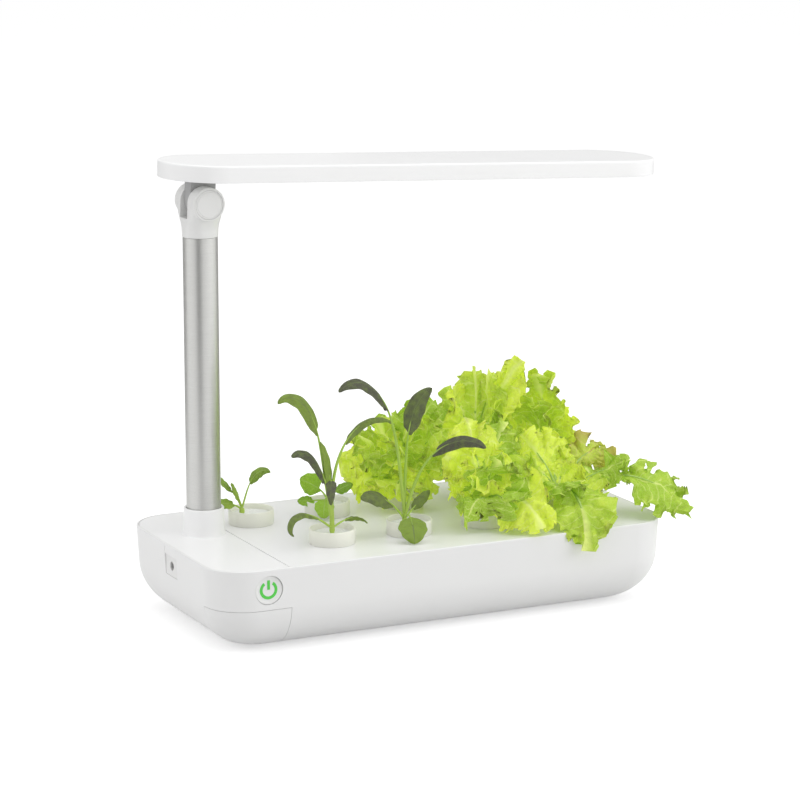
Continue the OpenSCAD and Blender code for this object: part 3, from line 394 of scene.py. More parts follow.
def clear_selection():
    if bpy.context.object and bpy.context.object.mode != "OBJECT":
        bpy.ops.object.mode_set(mode="OBJECT")
    bpy.ops.object.select_all(action="DESELECT")


def activate(*objects):
    clear_selection()
    for o in objects:
        o.select_set(True)
    bpy.context.view_layer.objects.active = objects[0]


def settle(obj):
    """Moves the object's place into its mesh."""
    activate(obj)
    bpy.ops.object.transform_apply(location=True, rotation=True, scale=True)


def apply_modifier(obj, kind, **settings):
    activate(obj)
    modifier = obj.modifiers.new(kind.lower(), kind)
    for key, value in settings.items():
        setattr(modifier, key, value)
    bpy.ops.object.modifier_apply(modifier=modifier.name)


def bevel(obj, width, segments=3, angle=50):
    apply_modifier(obj, "BEVEL", width=width * MM, segments=segments, limit_method="ANGLE",
                   angle_limit=math.radians(angle), use_clamp_overlap=True)


def smooth(obj, angle=32, flat_faces=False):
    """Soft shading. flat_faces keeps large flat faces even up to their rounded edges."""
    activate(obj)
    bpy.ops.object.shade_smooth_by_angle(angle=math.radians(angle))
    if flat_faces:
        apply_modifier(obj, "WEIGHTED_NORMAL", weight=100, keep_sharp=True)


def cut(obj, tool, operation="DIFFERENCE"):
    """Cuts the tool out of obj, or joins them by the operation named, and removes the tool."""
    apply_modifier(obj, "BOOLEAN", operation=operation, object=tool, solver="EXACT")
    bpy.data.objects.remove(tool, do_unlink=True)


def keep(obj, region):
    """Keeps only what lies in the region."""
    cut(obj, region, "INTERSECT")


def join(first, *others):
    activate(first, *others)
    bpy.ops.object.join()
    return first


def outward(obj):
    """Merges doubles and turns all faces outwards."""
    activate(obj)
    bpy.ops.object.mode_set(mode="EDIT")
    bpy.ops.mesh.select_all(action="SELECT")
    bpy.ops.mesh.remove_doubles(threshold=1e-6)
    bpy.ops.mesh.normals_make_consistent(inside=False)
    bpy.ops.object.mode_set(mode="OBJECT")


def block(low, high):
    """A box between two corners, in millimetres."""
    clear_selection()
    middle = [(a + b) / 2 * MM for a, b in zip(low, high)]
    bpy.ops.mesh.primitive_cube_add(size=1, location=middle)
    made = bpy.context.object
    made.scale = [(b - a) * MM for a, b in zip(low, high)]
    settle(made)
    return made


def rod(centre, radius, length, axis="Z", steps=96):
    """A cylinder about its centre, in millimetres."""
    clear_selection()
    turn = {"X": (0, QUARTER, 0), "Y": (QUARTER, 0, 0), "Z": (0, 0, 0)}[axis]
    bpy.ops.mesh.primitive_cylinder_add(vertices=steps, radius=radius * MM, depth=length * MM,
                                        location=[c * MM for c in centre], rotation=turn)
    made = bpy.context.object
    settle(made)
    return made


def turned(name, profile, steps=96):
    """A turned shape: profile is a closed line of (radius, height) in millimetres, spun about Z."""
    clear_selection()
    bpy.ops.mesh.primitive_plane_add(size=0.001)
    made = bpy.context.object
    made.name = name
    bpy.ops.object.mode_set(mode="EDIT")
    bpy.ops.mesh.select_mode(type="VERT")
    bpy.ops.mesh.select_all(action="SELECT")
    bpy.ops.mesh.merge(type="CENTER")
    points = [Vector((r * MM, 0, z * MM)) for r, z in profile]
    bpy.ops.transform.translate(value=points[0])
    for before, after in zip(points, points[1:]):
        bpy.ops.mesh.extrude_vertices_move(TRANSFORM_OT_translate={"value": after - before})
    bpy.ops.mesh.select_all(action="SELECT")
    bpy.ops.mesh.spin(steps=steps, angle=math.tau, center=(0, 0, 0), axis=(0, 0, 1))
    bpy.ops.object.mode_set(mode="OBJECT")
    outward(made)
    return made


def put(obj, place, axis="Z"):
    """Moves a turned shape to its place, with its own Z along the axis given."""
    angle, about = {"Z": (0, "Z"), "-Y": (QUARTER, "X"), "Y": (-QUARTER, "X")}[axis]
    turn = Matrix.Rotation(angle, 4, about)
    obj.data.transform(Matrix.Translation([c * MM for c in place]) @ turn)
    return obj


def copy_piece(obj, name):
    made = obj.copy()
    made.data = obj.data.copy()
    made.name = name
    bpy.context.scene.collection.objects.link(made)
    return made


def spot(vertex):
    return tuple(round(c, 7) for c in vertex.co)


def lofted(name, rings, close_start=True, close_end=True):
    """A skin through rings of equally many points, in millimetres: a circle is placed on the first
    ring, and its edge is extruded to each next one."""
    count = len(rings[0])
    clear_selection()
    bpy.ops.mesh.primitive_circle_add(vertices=count, radius=1, fill_type="NOTHING")
    made = bpy.context.object
    made.name = name
    for vertex, point in zip(made.data.vertices, rings[0]):
        vertex.co = Vector(point) * MM
    bpy.ops.object.mode_set(mode="EDIT")
    bpy.ops.mesh.select_mode(type="EDGE")
    bpy.ops.mesh.select_all(action="SELECT")
    if close_start:
        bpy.ops.mesh.edge_face_add()
    for ring in rings[1:]:
        mesh = bmesh.from_edit_mesh(made.data)
        held = {spot(v): k for k, v in enumerate(mesh.verts) if v.select}
        first = len(mesh.verts) - count
        bpy.ops.mesh.extrude_edges_move()
        mesh = bmesh.from_edit_mesh(made.data)
        mesh.verts.ensure_lookup_table()
        for vertex in mesh.verts:
            if vertex.select:
                vertex.co = Vector(ring[held[spot(vertex)] - first]) * MM
        bmesh.update_edit_mesh(made.data)
    if close_end:
        bpy.ops.mesh.edge_face_add()
    bpy.ops.mesh.select_all(action="SELECT")
    bpy.ops.mesh.normals_make_consistent(inside=False)
    bpy.ops.object.mode_set(mode="OBJECT")
    return made


def rounded_plan(half_x, half_y, radius, z, corner_steps=20, long_steps=40, short_steps=16):
    """Points round a rectangle with round corners, centred on the origin."""
    points = []
    corners = [(1, 1, 0), (-1, 1, 90), (-1, -1, 180), (1, -1, 270)]
    for k, (sx, sy, start) in enumerate(corners):
        centre = (sx * (half_x - radius), sy * (half_y - radius))
        for j in range(corner_steps + 1):
            a = math.radians(start + 90 * j / corner_steps)
            points.append((centre[0] + radius * math.cos(a), centre[1] + radius * math.sin(a), z))
        nx, ny, _ = corners[(k + 1) % 4]
        after = (nx * (half_x - radius), ny * (half_y - radius))
        a = math.radians(start + 90)
        end = (after[0] + radius * math.cos(a), after[1] + radius * math.sin(a))
        steps = long_steps if k % 2 == 0 else short_steps
        here = points[-1]
        for j in range(1, steps):
            points.append((here[0] + (end[0] - here[0]) * j / steps,
                           here[1] + (end[1] - here[1]) * j / steps, z))
    return points


def dress(obj, node, body, slot=None, dressed=False):
    """Makes obj the shown piece for a CAD node: it takes the node's name and body and, unless it is
    dressed, the finish of its slot.
    """
    slot = slot or SLOTS[node]
    obj.name = node + "_shown"
    obj.data.name = obj.name
    if not dressed:
        obj.data.materials.clear()
        obj.data.materials.append(FINISHES[slot])
    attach(obj, body)
    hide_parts(node)


# ---- Tank and deck ----


def skin_inset(z):
    """How far the hull's skin lies inside its plan at a height above its bottom."""
    bilge = 0 if z >= BILGE_H else BILGE_W * (1 - math.sqrt(1 - (1 - z / BILGE_H) ** 2))
    return (HULL_H - z) * WALL_SLOPE + bilge


def base_plan(inset, z, **steps):
    """The base's outline, drawn in by inset."""
    return rounded_plan(BASE_LEN / 2 - inset, BASE_WID / 2 - inset, CORNER_R - inset / 2, z, **steps)


def hull_ring(z, inset, lift=0.0):
    return base_plan(inset, FOOT_H + z + lift)


def hull_levels():
    bilge = [BILGE_H * (1 - math.cos(a)) for a in arc(16)]
    return bilge + [BILGE_H + (HULL_H - BILGE_H) * k / 4 for k in range(1, 4)]


def tank_skin():
    """The whole hull with its rolled rim, the rebate for the plates and its inside."""
    edge = 1.0
    outer = [hull_ring(z, skin_inset(z)) for z in hull_levels()]
    for a in arc(5):
        z = HULL_H - edge + edge * math.sin(a)
        outer.append(hull_ring(z, skin_inset(HULL_H - edge) + edge * (1 - math.cos(a))))
    rebate_z = HULL_H - PLATE_T
    rebate = [hull_ring(HULL_H, RIM_W), hull_ring(rebate_z, RIM_W),
              hull_ring(rebate_z, skin_inset(rebate_z) + WALL_T)]
    inner = [hull_ring(z, skin_inset(z) + WALL_T, FLOOR_T) for z in reversed(hull_levels()[:-1])]
    return lofted("tank", outer + rebate + inner)


def make_tank():
    """Hull with its openings and the wall between tank and electronics, and the corner cover."""
    foot_r, foot_deep, screw_r, screw_deep, overlap = 8.1, 1.6, 3.0, 4, 0.6
    outside, half_w, half_h = LEFT_X - 5, INLET_W / 2, INLET_H / 2
    tank = tank_skin()
    cover = copy_piece(tank, "corner_cover")
    cut(tank, block(FAR_LOW, (COVER_X, COVER_Y, COVER_Z)))
    cut(tank, rod((BUTTON_X, FRONT_Y, BUTTON_Z), BUTTON_HOLE_R, 12, "Y"))
    # the inlet's opening, and the fine seam that runs up from it
    cut(tank, block((outside, -half_w, INLET_Z - half_h), (LEFT_X + 7, half_w, INLET_Z + half_h)))
    cut(tank, block((outside, half_w - 0.4, INLET_Z), (LEFT_X + 1.2, half_w, DECK_Z - 1.2)))
    for x, y in FOOT_PLACES:
        cut(tank, rod((x, y, FOOT_H), foot_r, foot_deep))
    for x, y in SCREW_PLACES:
        cut(tank, rod((x, y, FOOT_H), screw_r, screw_deep))
    wall = lofted("bulkhead", [hull_ring(z, skin_inset(z) + WALL_T - overlap)
                               for z in hull_levels()[1:] + [HULL_H - PLATE_T - 0.2]])
    keep(wall, block((SEAM_X - WALL_T / 2, -FAR, 0), (SEAM_X + WALL_T / 2, FAR, FAR)))
    join(tank, wall)
    smooth(tank, flat_faces=True)
    dress(tank, "base_hull", "root")

    corner = [c - COVER_GAP for c in (COVER_X, COVER_Y, COVER_Z)]
    keep(cover, block(FAR_LOW, corner))
    smooth(cover, flat_faces=True)
    dress(cover, "control_cover", "root")


def flat_plate(name):
    """The whole lid, before it is cut into deck and tray."""
    return lofted(name, [base_plan(RIM_W + PLATE_GAP, z, long_steps=2, short_steps=2)
                         for z in (DECK_Z - PLATE_T, DECK_Z)])


def collar_profile():
    """The collar round the tube, with its rolled lip and the socket below the deck."""
    bore, socket_wall, cable_r, web = TUBE_R + 0.1, 2, 3, 3
    top = DECK_Z + COLLAR_H
    lip = (COLLAR_R - bore) / 2
    roll = [(bore + lip + lip * math.cos(a), top - lip + lip * math.sin(a)) for a in arc(10, math.pi)]
    foot = [(COLLAR_BASE_R + 1.2, DECK_Z - 0.4), (COLLAR_BASE_R + 0.5, DECK_Z + 0.35),
            (COLLAR_BASE_R + 0.1, DECK_Z + 1.2), (COLLAR_R + 0.2, DECK_Z + 5)]
    below = [(bore, SOCKET_Z + web), (cable_r, SOCKET_Z + web), (cable_r, SOCKET_Z),
             (bore + socket_wall, SOCKET_Z), (bore + socket_wall, DECK_Z - PLATE_T),
             (COLLAR_BASE_R + 1.2, DECK_Z - PLATE_T + 0.5)]
    line = foot + roll + below
    return line + [line[0]]


def make_deck():
    """The fixed plate with the mast's collar and the posts of its screws."""
    post_r, low_end, top_end = 4, 12, DECK_Z - 4
    deck = flat_plate("deck")
    keep(deck, block(FAR_LOW, (SEAM_X - SEAM_GAP / 2, FAR, FAR)))
    cut(deck, rod((MAST_X, MAST_Y, DECK_Z), COLLAR_BASE_R - 0.6, 12))
    bevel(deck, 0.35, 2)
    collar = put(turned("collar", collar_profile(), 128), (MAST_X, MAST_Y, 0))
    posts = [rod((x, y, (low_end + top_end) / 2), post_r, top_end - low_end, steps=32)
             for x, y in SCREW_PLACES]
    join(deck, collar, *posts)
    smooth(deck, flat_faces=True)
    dress(deck, "deck_plate", "root")


def make_tray():
    """The lift-off plate with a sleeve for each pod and a skirt inside the tank."""
    hole_r, sleeve_h, sleeve_t = BASKET_R + 0.4, 11, 1.6
    skirt_in, skirt_h, skirt_t = WALL_T + 0.85, 5, 1.6
    tray = flat_plate("tray")
    keep(tray, block((SEAM_X + SEAM_GAP / 2, -FAR, -FAR), (FAR, FAR, FAR)))
    for x, y in PODS.values():
        cut(tray, rod((x, y, DECK_Z), hole_r, 12))
    bevel(tray, 0.35, 2)
    out_r = hole_r + sleeve_t
    sleeve = [(hole_r, DECK_Z - 0.5), (hole_r, DECK_Z - sleeve_h), (out_r, DECK_Z - sleeve_h),
              (out_r, DECK_Z - 1), (hole_r, DECK_Z - 0.5)]
    sleeves = [put(turned("sleeve", sleeve, 64), (x, y, 0)) for x, y in PODS.values()]
    top = DECK_Z - PLATE_T + 0.01
    low = DECK_Z - PLATE_T - skirt_h
    skirt_line = [(skirt_in, top), (skirt_in, low), (skirt_in + skirt_t, low), (skirt_in + skirt_t, top)]
    skirt = lofted("skirt", [base_plan(inset, z, long_steps=2, short_steps=2) for inset, z in skirt_line],
                   close_start=False, close_end=False)
    keep(skirt, block((SEAM_X + 2.2, -FAR, -FAR), (FAR, FAR, FAR)))
    join(tray, skirt, *sleeves)
    smooth(tray, flat_faces=True)
    dress(tray, "grow_tray", "tray")


# ---- Button, inlet and small parts ----


def make_button():
    """Round cap with a soft edge and a shallow dish round the sign."""
    low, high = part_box("power_button")
    front, nub, soft = low[1] / MM, 0.5, 0.8
    depth = (high[1] - low[1]) / MM - nub
    rim = BUTTON_HOLE_R - 0.15
    dish = [(CORE, 0.5), (8.4, 0.5), (9.0, 0.4), (9.7, 0.15)]
    edge = [(rim - soft + soft * math.sin(a), soft - soft * math.cos(a)) for a in arc(6)]
    back = [(rim, depth - 1), (rim + 1, depth - 1), (rim + 1, depth), (2, depth), (2, depth + nub),
            (CORE, depth + nub)]
    cap = put(turned("cap", dish + edge + back), (BUTTON_X, front, BUTTON_Z), "Y")
    smooth(cap, 40)
    dress(cap, "power_button", "button")

    # the sign: a ring that a wedge opens at the top, and a bar in the opening
    face, half_open, reach, half_bar = 0.22, 0.60, 20, 1.15
    ring = [(4.95, 0.5), (5.1, face), (7.2, face), (7.35, 0.5), (4.95, 0.5)]
    sign = put(turned("sign", ring), (BUTTON_X, front, BUTTON_Z), "Y")
    corners = [(0, 0)] + [(math.sin(a) * reach, math.cos(a) * reach) for a in (-half_open, half_open)]
    cut(sign, lofted("wedge", [[(BUTTON_X + x, front + y, BUTTON_Z + z) for x, z in corners]
                               for y in (-2, 3)]))
    bar = block((BUTTON_X - half_bar, front + face, BUTTON_Z + 0.3),
                (BUTTON_X + half_bar, front + 0.5, BUTTON_Z + 7.7))
    bevel(bar, 0.12, 2)
    join(sign, bar)
    smooth(sign, 40)
    dress(sign, "button_icon", "button")


def make_inlet():
    low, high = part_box("inlet_plate")
    edge, hole_r = 0.12, 3.6
    half_w, half_h = INLET_W / 2 - edge, INLET_H / 2 - edge
    plate = block((low[0] / MM - 0.6, -half_w, INLET_Z - half_h), (high[0] / MM, half_w, INLET_Z + half_h))
    cut(plate, rod((low[0] / MM, 0, INLET_Z), hole_r, 12, "X", 64))
    bevel(plate, 0.3, 2)
    smooth(plate, flat_faces=True)
    dress(plate, "inlet_plate", "root", "grey_plastic")


# ---- Mast ----


def make_tube():
    bottom, edge = SOCKET_Z + 3, 0.4
    inner = TUBE_R - TUBE_WALL
    line = [(inner, bottom), (TUBE_R - edge, bottom), (TUBE_R, bottom + edge), (TUBE_R, TUBE_TOP - edge),
            (TUBE_R - edge, TUBE_TOP), (inner, TUBE_TOP), (inner, bottom)]
    tube = put(turned("tube", line, 160), (MAST_X, MAST_Y, 0))
    smooth(tube)
    dress(tube, "mast_tube", "root")


def make_head():
    """A round neck that flares into the two ears, slotted for the lamp's knuckle."""
    flare_from, flare_over, steps, pin_r, cable_r = 0.2, 0.62, 18, 3.0, 2.8
    rings = []
    for k in range(steps + 1):
        f = k / steps
        half_y = NECK_R + (HEAD_WID / 2 - 0.1 - NECK_R) * ease(clamp((f - flare_from) / flare_over))
        half_x = NECK_R - (NECK_R - EAR_R) * f
        z = TUBE_TOP + (HINGE_Z - TUBE_TOP) * f
        rings.append(rounded_plan(half_x, half_y, NECK_R - 0.05 - 7 * f, z, long_steps=3, short_steps=3))
    neck = put(lofted("head", rings), (MAST_X, MAST_Y, 0))
    ears = rod((MAST_X, MAST_Y, HINGE_Z), EAR_R, HEAD_WID, "Y", 128)
    bevel(ears, 1.3, 5)
    cut(neck, ears, "UNION")
    half_slot = SLOT_W / 2
    cut(neck, block((MAST_X - 30, MAST_Y - half_slot, HINGE_Z - SLOT_BELOW),
                    (MAST_X + 30, MAST_Y + half_slot, HINGE_Z + 30)))
    for side in (-1, 1):
        cut(neck, rod((MAST_X, MAST_Y + side * HEAD_WID / 2, HINGE_Z), CAP_R + 0.15, 2 * CAP_T, "Y"))
    cut(neck, rod((MAST_X, MAST_Y, HINGE_Z), pin_r, HEAD_WID + 4, "Y", 48))
    cut(neck, rod((MAST_X, MAST_Y, TUBE_TOP), cable_r, 60, "Z", 48))
    bevel(neck, 0.3, 2, 60)
    smooth(neck, 35, True)
    dress(neck, "mast_head", "root")


def make_caps():
    """Both end caps of the hinge, each with a fine ring groove and a slight crown."""
    groove, deep = 10.2, CAP_T - 0.45
    face = [(CORE, CAP_T), (5, CAP_T - 0.04), (groove - 0.5, CAP_T - 0.12), (groove - 0.25, deep),
            (groove + 0.05, deep), (groove + 0.3, CAP_T - 0.08), (CAP_R - 0.35, CAP_T - 0.1),
            (CAP_R, CAP_T - 0.5), (CAP_R, 0), (CORE, 0)]
    seat = HEAD_WID / 2 - CAP_T
    front = put(turned("cap", face), (MAST_X, MAST_Y - seat, HINGE_Z), "-Y")
    back = put(turned("cap", face), (MAST_X, MAST_Y + seat, HINGE_Z), "Y")
    join(front, back)
    smooth(front, 40)
    dress(front, "hinge_caps", "root")


# ---- Lamp ----


def lamp_ring(inset, z, steps=48, straight=24):
    """Stadium outline of the lamp, drawn in by inset."""
    r = LAMP_WID / 2 - inset
    half = (LAMP_LEN - LAMP_WID) / 2
    points = []
    for side, start in ((1, -90), (-1, 90)):
        for k in range(steps + 1):
            a = math.radians(start + 180 * k / steps)
            points.append((LAMP_MID_X + side * half + r * math.cos(a), MAST_Y + r * math.sin(a), z))
        here = points[-1]
        for k in range(1, straight):
            points.append((here[0] - side * 2 * half * k / straight, here[1], z))
    return points


def droop(obj):
    """Turns a lamp piece that was made level about the hinge."""
    pivot = Matrix.Translation(Vector((MAST_X, 0, HINGE_Z)) * MM)
    obj.data.transform(pivot @ Matrix.Rotation(LAMP_DROOP, 4, "Y") @ pivot.inverted())
    return obj


def make_lamp():
    """Housing with its top face in a darker grey, as painted shade under the top light, the diffuser and
    the end cover at the hinge.
    """
    top, edge = LAMP_Z + LAMP_T, 1.6
    crown = [(edge * (1 - math.cos(a)), top - edge + edge * math.sin(a)) for a in arc(6)]
    line = [(LAMP_WALL, top - LAMP_WALL), (LAMP_WALL, LAMP_Z + 0.3), (LAMP_WALL - 0.3, LAMP_Z),
            (0.5, LAMP_Z), (0.15, LAMP_Z + 0.15), (0, LAMP_Z + 0.5)] + crown + [(edge + 1, top)]
    housing = droop(lofted("housing", [lamp_ring(inset, z) for inset, z in line]))
    smooth(housing, 40, True)
    housing.data.materials.append(FINISHES["lamp_white"])
    housing.data.materials.append(FINISHES["lamp_top"])
    # Faces that look straight up take the darker grey: painted shade on the lamp's top.
    lowest_top = (LAMP_Z + LAMP_T / 2) * MM - 0.02
    for face in housing.data.polygons:
        face.material_index = int(face.normal.z > 0.95 and face.center.z > lowest_top)
    dress(housing, "lamp_housing", "lamp", dressed=True)

    gap, thick, slot_x, slot_y = 0.15, 2, 10.7, 6.7
    for node, low_x, high_x in (("lamp_end_cover", -FAR, END_COVER_X - gap),
                                ("lamp_diffuser", END_COVER_X + gap, FAR)):
        panel = lofted(node, [lamp_ring(LAMP_WALL + 0.2, z) for z in (LAMP_Z, LAMP_Z + thick)])
        keep(panel, block((low_x, -FAR, 0), (high_x, FAR, 2 * FAR)))
        if node == "lamp_end_cover":
            cut(panel, block((MAST_X - slot_x, MAST_Y - slot_y, LAMP_Z - 5),
                             (MAST_X + slot_x, MAST_Y + slot_y, LAMP_Z + 5)))
        bevel(panel, 0.3, 2)
        smooth(droop(panel), flat_faces=True)
        dress(panel, node, "lamp")


# ---- Pods and sponges ----


def pod_profile():
    bottom, rim = DECK_Z - BASKET_DEPTH, DECK_Z + RING_H
    lip, inner_r = POD_WALL / 2, BASKET_R - POD_WALL
    roll = [(RING_R - lip + lip * math.cos(a), rim - lip + lip * math.sin(a)) for a in arc(8, math.pi)]
    line = [(CORE, bottom), (BASKET_R - 1.2, bottom), (BASKET_R - 0.35, bottom + 0.35),
            (BASKET_R, bottom + 1.2), (BASKET_R, DECK_Z), (RING_R - 0.4, DECK_Z), (RING_R, DECK_Z + 0.4)]
    inside = [(RING_R - POD_WALL, DECK_Z + POD_WALL), (inner_r, DECK_Z + POD_WALL),
              (inner_r, bottom + POD_WALL), (CORE, bottom + POD_WALL)]
    return line + roll + inside


def sponge_profile():
    """A sponge that fills its pod, with a slightly hollow top."""
    top, hollow, play = SPONGE_Z, 0.4, POD_WALL + 0.3
    r_out, r_in, flat = RING_R - play, BASKET_R - play, RING_R - play - 1.5
    bottom, seat = DECK_Z - BASKET_DEPTH + play, DECK_Z + play
    line = [(CORE, bottom), (r_in - 1, bottom), (r_in, bottom + 1), (r_in, seat), (r_out, seat),
            (r_out, top - 1.4), (r_out - 0.4, top - 0.5), (flat, top)]
    line += [(flat - flat * k / 10, top - hollow * (k / 10) ** 2) for k in range(1, 10)]
    return line + [(CORE, top - hollow)]


def make_pods():
    """A slotted pod and its sponge, modelled once and copied to each place."""
    half_slot, slot_low, slot_high = 2, DECK_Z - BASKET_DEPTH + 4, DECK_Z - BASKET_DEPTH + 18
    pod = turned("pod", pod_profile())
    for k in range(3):
        slot = block((-half_slot, -25, slot_low), (half_slot, 25, slot_high))
        slot.data.transform(Matrix.Rotation(math.pi / 3 * k, 4, "Z"))
        cut(pod, slot)
    bevel(pod, 0.25, 2, 60)
    smooth(pod, 40)
    sponge = turned("sponge", sponge_profile(), 72)
    for vertex in sponge.data.vertices:
        if vertex.co.z > (SPONGE_Z - 1) * MM:
            vertex.co.z += 0.25 * MM * noise.noise(vertex.co * 350)
    smooth(sponge, 50)
    for key, (x, y) in PODS.items():
        for piece in (pod, sponge):
            one = put(copy_piece(piece, "copy"), (x, y, 0))
            dress(one, f"{piece.name}_{key}", "holder_" + key)
    for piece in (pod, sponge):
        bpy.data.objects.remove(piece, do_unlink=True)


# ---- Plants ----

LETTUCE_H, HERB_H, CROWN_UP = 110, 116, 3
MID_Y = (BACK_Y + FRONT_ROW_Y) / 2
CROWN_Z = SPONGE_Z + CROWN_UP


def rib_angle(bend, s):
    return math.radians(bend[0] + (bend[1] - bend[0]) * s ** bend[2])


def rib_frame(length, bend, steps=60):
    """A function that gives a midrib's point (outwards, upwards) and its angle at share s."""
    line = [(0.0, 0.0)]
    for k in range(steps):
        a = rib_angle(bend, (k + 0.5) / steps)
        r, h = line[-1]
        line.append((r + length / steps * math.sin(a), h + length / steps * math.cos(a)))

    def at(s):
        x = clamp(s) * steps
        k = min(int(x), steps - 1)
        f = x - k
        (r0, h0), (r1, h1) = line[k], line[k + 1]
        return r0 + (r1 - r0) * f, h0 + (h1 - h0) * f, rib_angle(bend, clamp(s))

    return at


def beside_rib(r, h, a, sideways, lift):
    """A point beside the rib's point (r, h), lifted square to the rib's angle a."""
    return r + lift * math.cos(a), sideways, h - lift * math.sin(a)


def tag(obj, along, across, tone):
    """Keeps each point's place on its leaf, for the finish to read."""
    for name, values in (("along", along), ("across", across), ("tone", [tone] * len(along))):
        layer = obj.data.attributes.new(name, "FLOAT", "POINT")
        layer.data.foreach_set("value", values)


def blade_mesh(rows, cols, place, tone, thick):
    """A leaf's blade: a grid whose points are put in place by a function of (s along, t across). It
    gives a point, in millimetres, in the leaf's own frame: outwards, sideways, up."""
    clear_selection()
    bpy.ops.mesh.primitive_grid_add(x_subdivisions=cols, y_subdivisions=rows, size=2)
    made = bpy.context.object
    made.name = "blade"
    along, across = [], []
    for vertex in made.data.vertices:
        s, t = (vertex.co.y + 1) / 2, math.sin(vertex.co.x * QUARTER)
        along.append(s)
        across.append(t)
        vertex.co = Vector(place(s, t)) * MM
    tag(made, along, across, tone)
    apply_modifier(made, "SOLIDIFY", thickness=thick * MM, offset=0)
    return made


def stalk_mesh(length, bend, thick, end, tone, wide=1.0, taper=1.3):
    """Stalk and midrib: a tube along the rib that thins out towards the leaf's tip."""
    rows, sides, thinned = 36, 8, 0.85
    at = rib_frame(length, bend)
    rings = []
    for i in range(rows + 1):
        s = end * i / rows
        r, h, a = at(s)
        radius = thick * (1 - thinned * (s / end) ** taper)
        turns = [math.tau * j / sides for j in range(sides)]
        rings.append([beside_rib(r, h, a, radius * wide * math.sin(q), radius * (math.cos(q) - 0.5))
                      for q in turns])
    made = lofted("stem", rings)
    count = len(made.data.vertices)
    tag(made, [min(1.0, (k // sides) / rows * end) for k in range(count)], [0.0] * count, tone)
    return made


def twister(turn, most):
    """Leaves that grow to the sides twist their upper face towards the front of the garden. Gives a
    function that turns a point (sideways, lift) about the rib by a share of that twist."""
    facing = 116
    whole = -math.radians(most) * math.sin(math.radians(turn + facing))
    c, d = math.cos(whole), math.sin(whole)

    def twisted(y, lift, share):
        straight = 1 - share + share * c
        return y * straight - lift * d * share, y * d * share + lift * straight

    return twisted


def herb_leaf(turn, long, wide, bend, stalk, tone, fold, most):
    """A smooth-edged leaf on a stalk. Sizes are shares of the herbs' height."""
    length, half = long * HERB_H, wide * HERB_H / 2
    at = rib_frame(length, bend)
    twisted = twister(turn, most)
    seed = Vector((turn * 0.37, long * 9.1, wide * 31.7))

    def place(s, t):
        r, h, a = at(stalk + (1 - stalk) * s)
        w = 0.35 + half * math.sin(math.pi * min(1, 0.02 + 0.98 * s) ** 0.85) ** 0.6 if s < 1 else 0.15
        w *= 1 + 0.04 * math.sin(19 * s + 5 * t + turn)
        lift = fold * w * abs(t) ** 1.6
        lift += 0.12 * half * noise.noise(seed + Vector((s * 5, t * 1.6, 0)))
        lift += 0.25 * math.sin(26 * s - 5 * abs(t)) * abs(t)
        return beside_rib(r, h, a, *twisted(w * t, lift, min(1, 8 * s)))

    blade = blade_mesh(44, 14, place, tone, 0.5)
    thick = 1.45 if long > 0.6 else 0.95 if long > 0.4 else 0.8
    stem = stalk_mesh(length, bend, thick, stalk + 0.35 * (1 - stalk), tone, taper=2.6)
    return turn_parts(turn, blade, stem)


def turn_parts(turn, *parts):
    for part in parts:
        part.data.transform(Matrix.Rotation(math.radians(turn), 4, "Z"))
    return parts


def lettuce_bend(tip, lean):
    """Direction, length and bend of a rib that leaves at lean and ends at tip."""
    x, y, z = tip
    half_turn = math.atan2(math.hypot(x, y), z) - math.radians(lean)
    length = math.sqrt(x * x + y * y + z * z) * half_turn / math.sin(half_turn)
    return math.degrees(math.atan2(y, x)), length, (lean, lean + 2 * math.degrees(half_turn), 1)


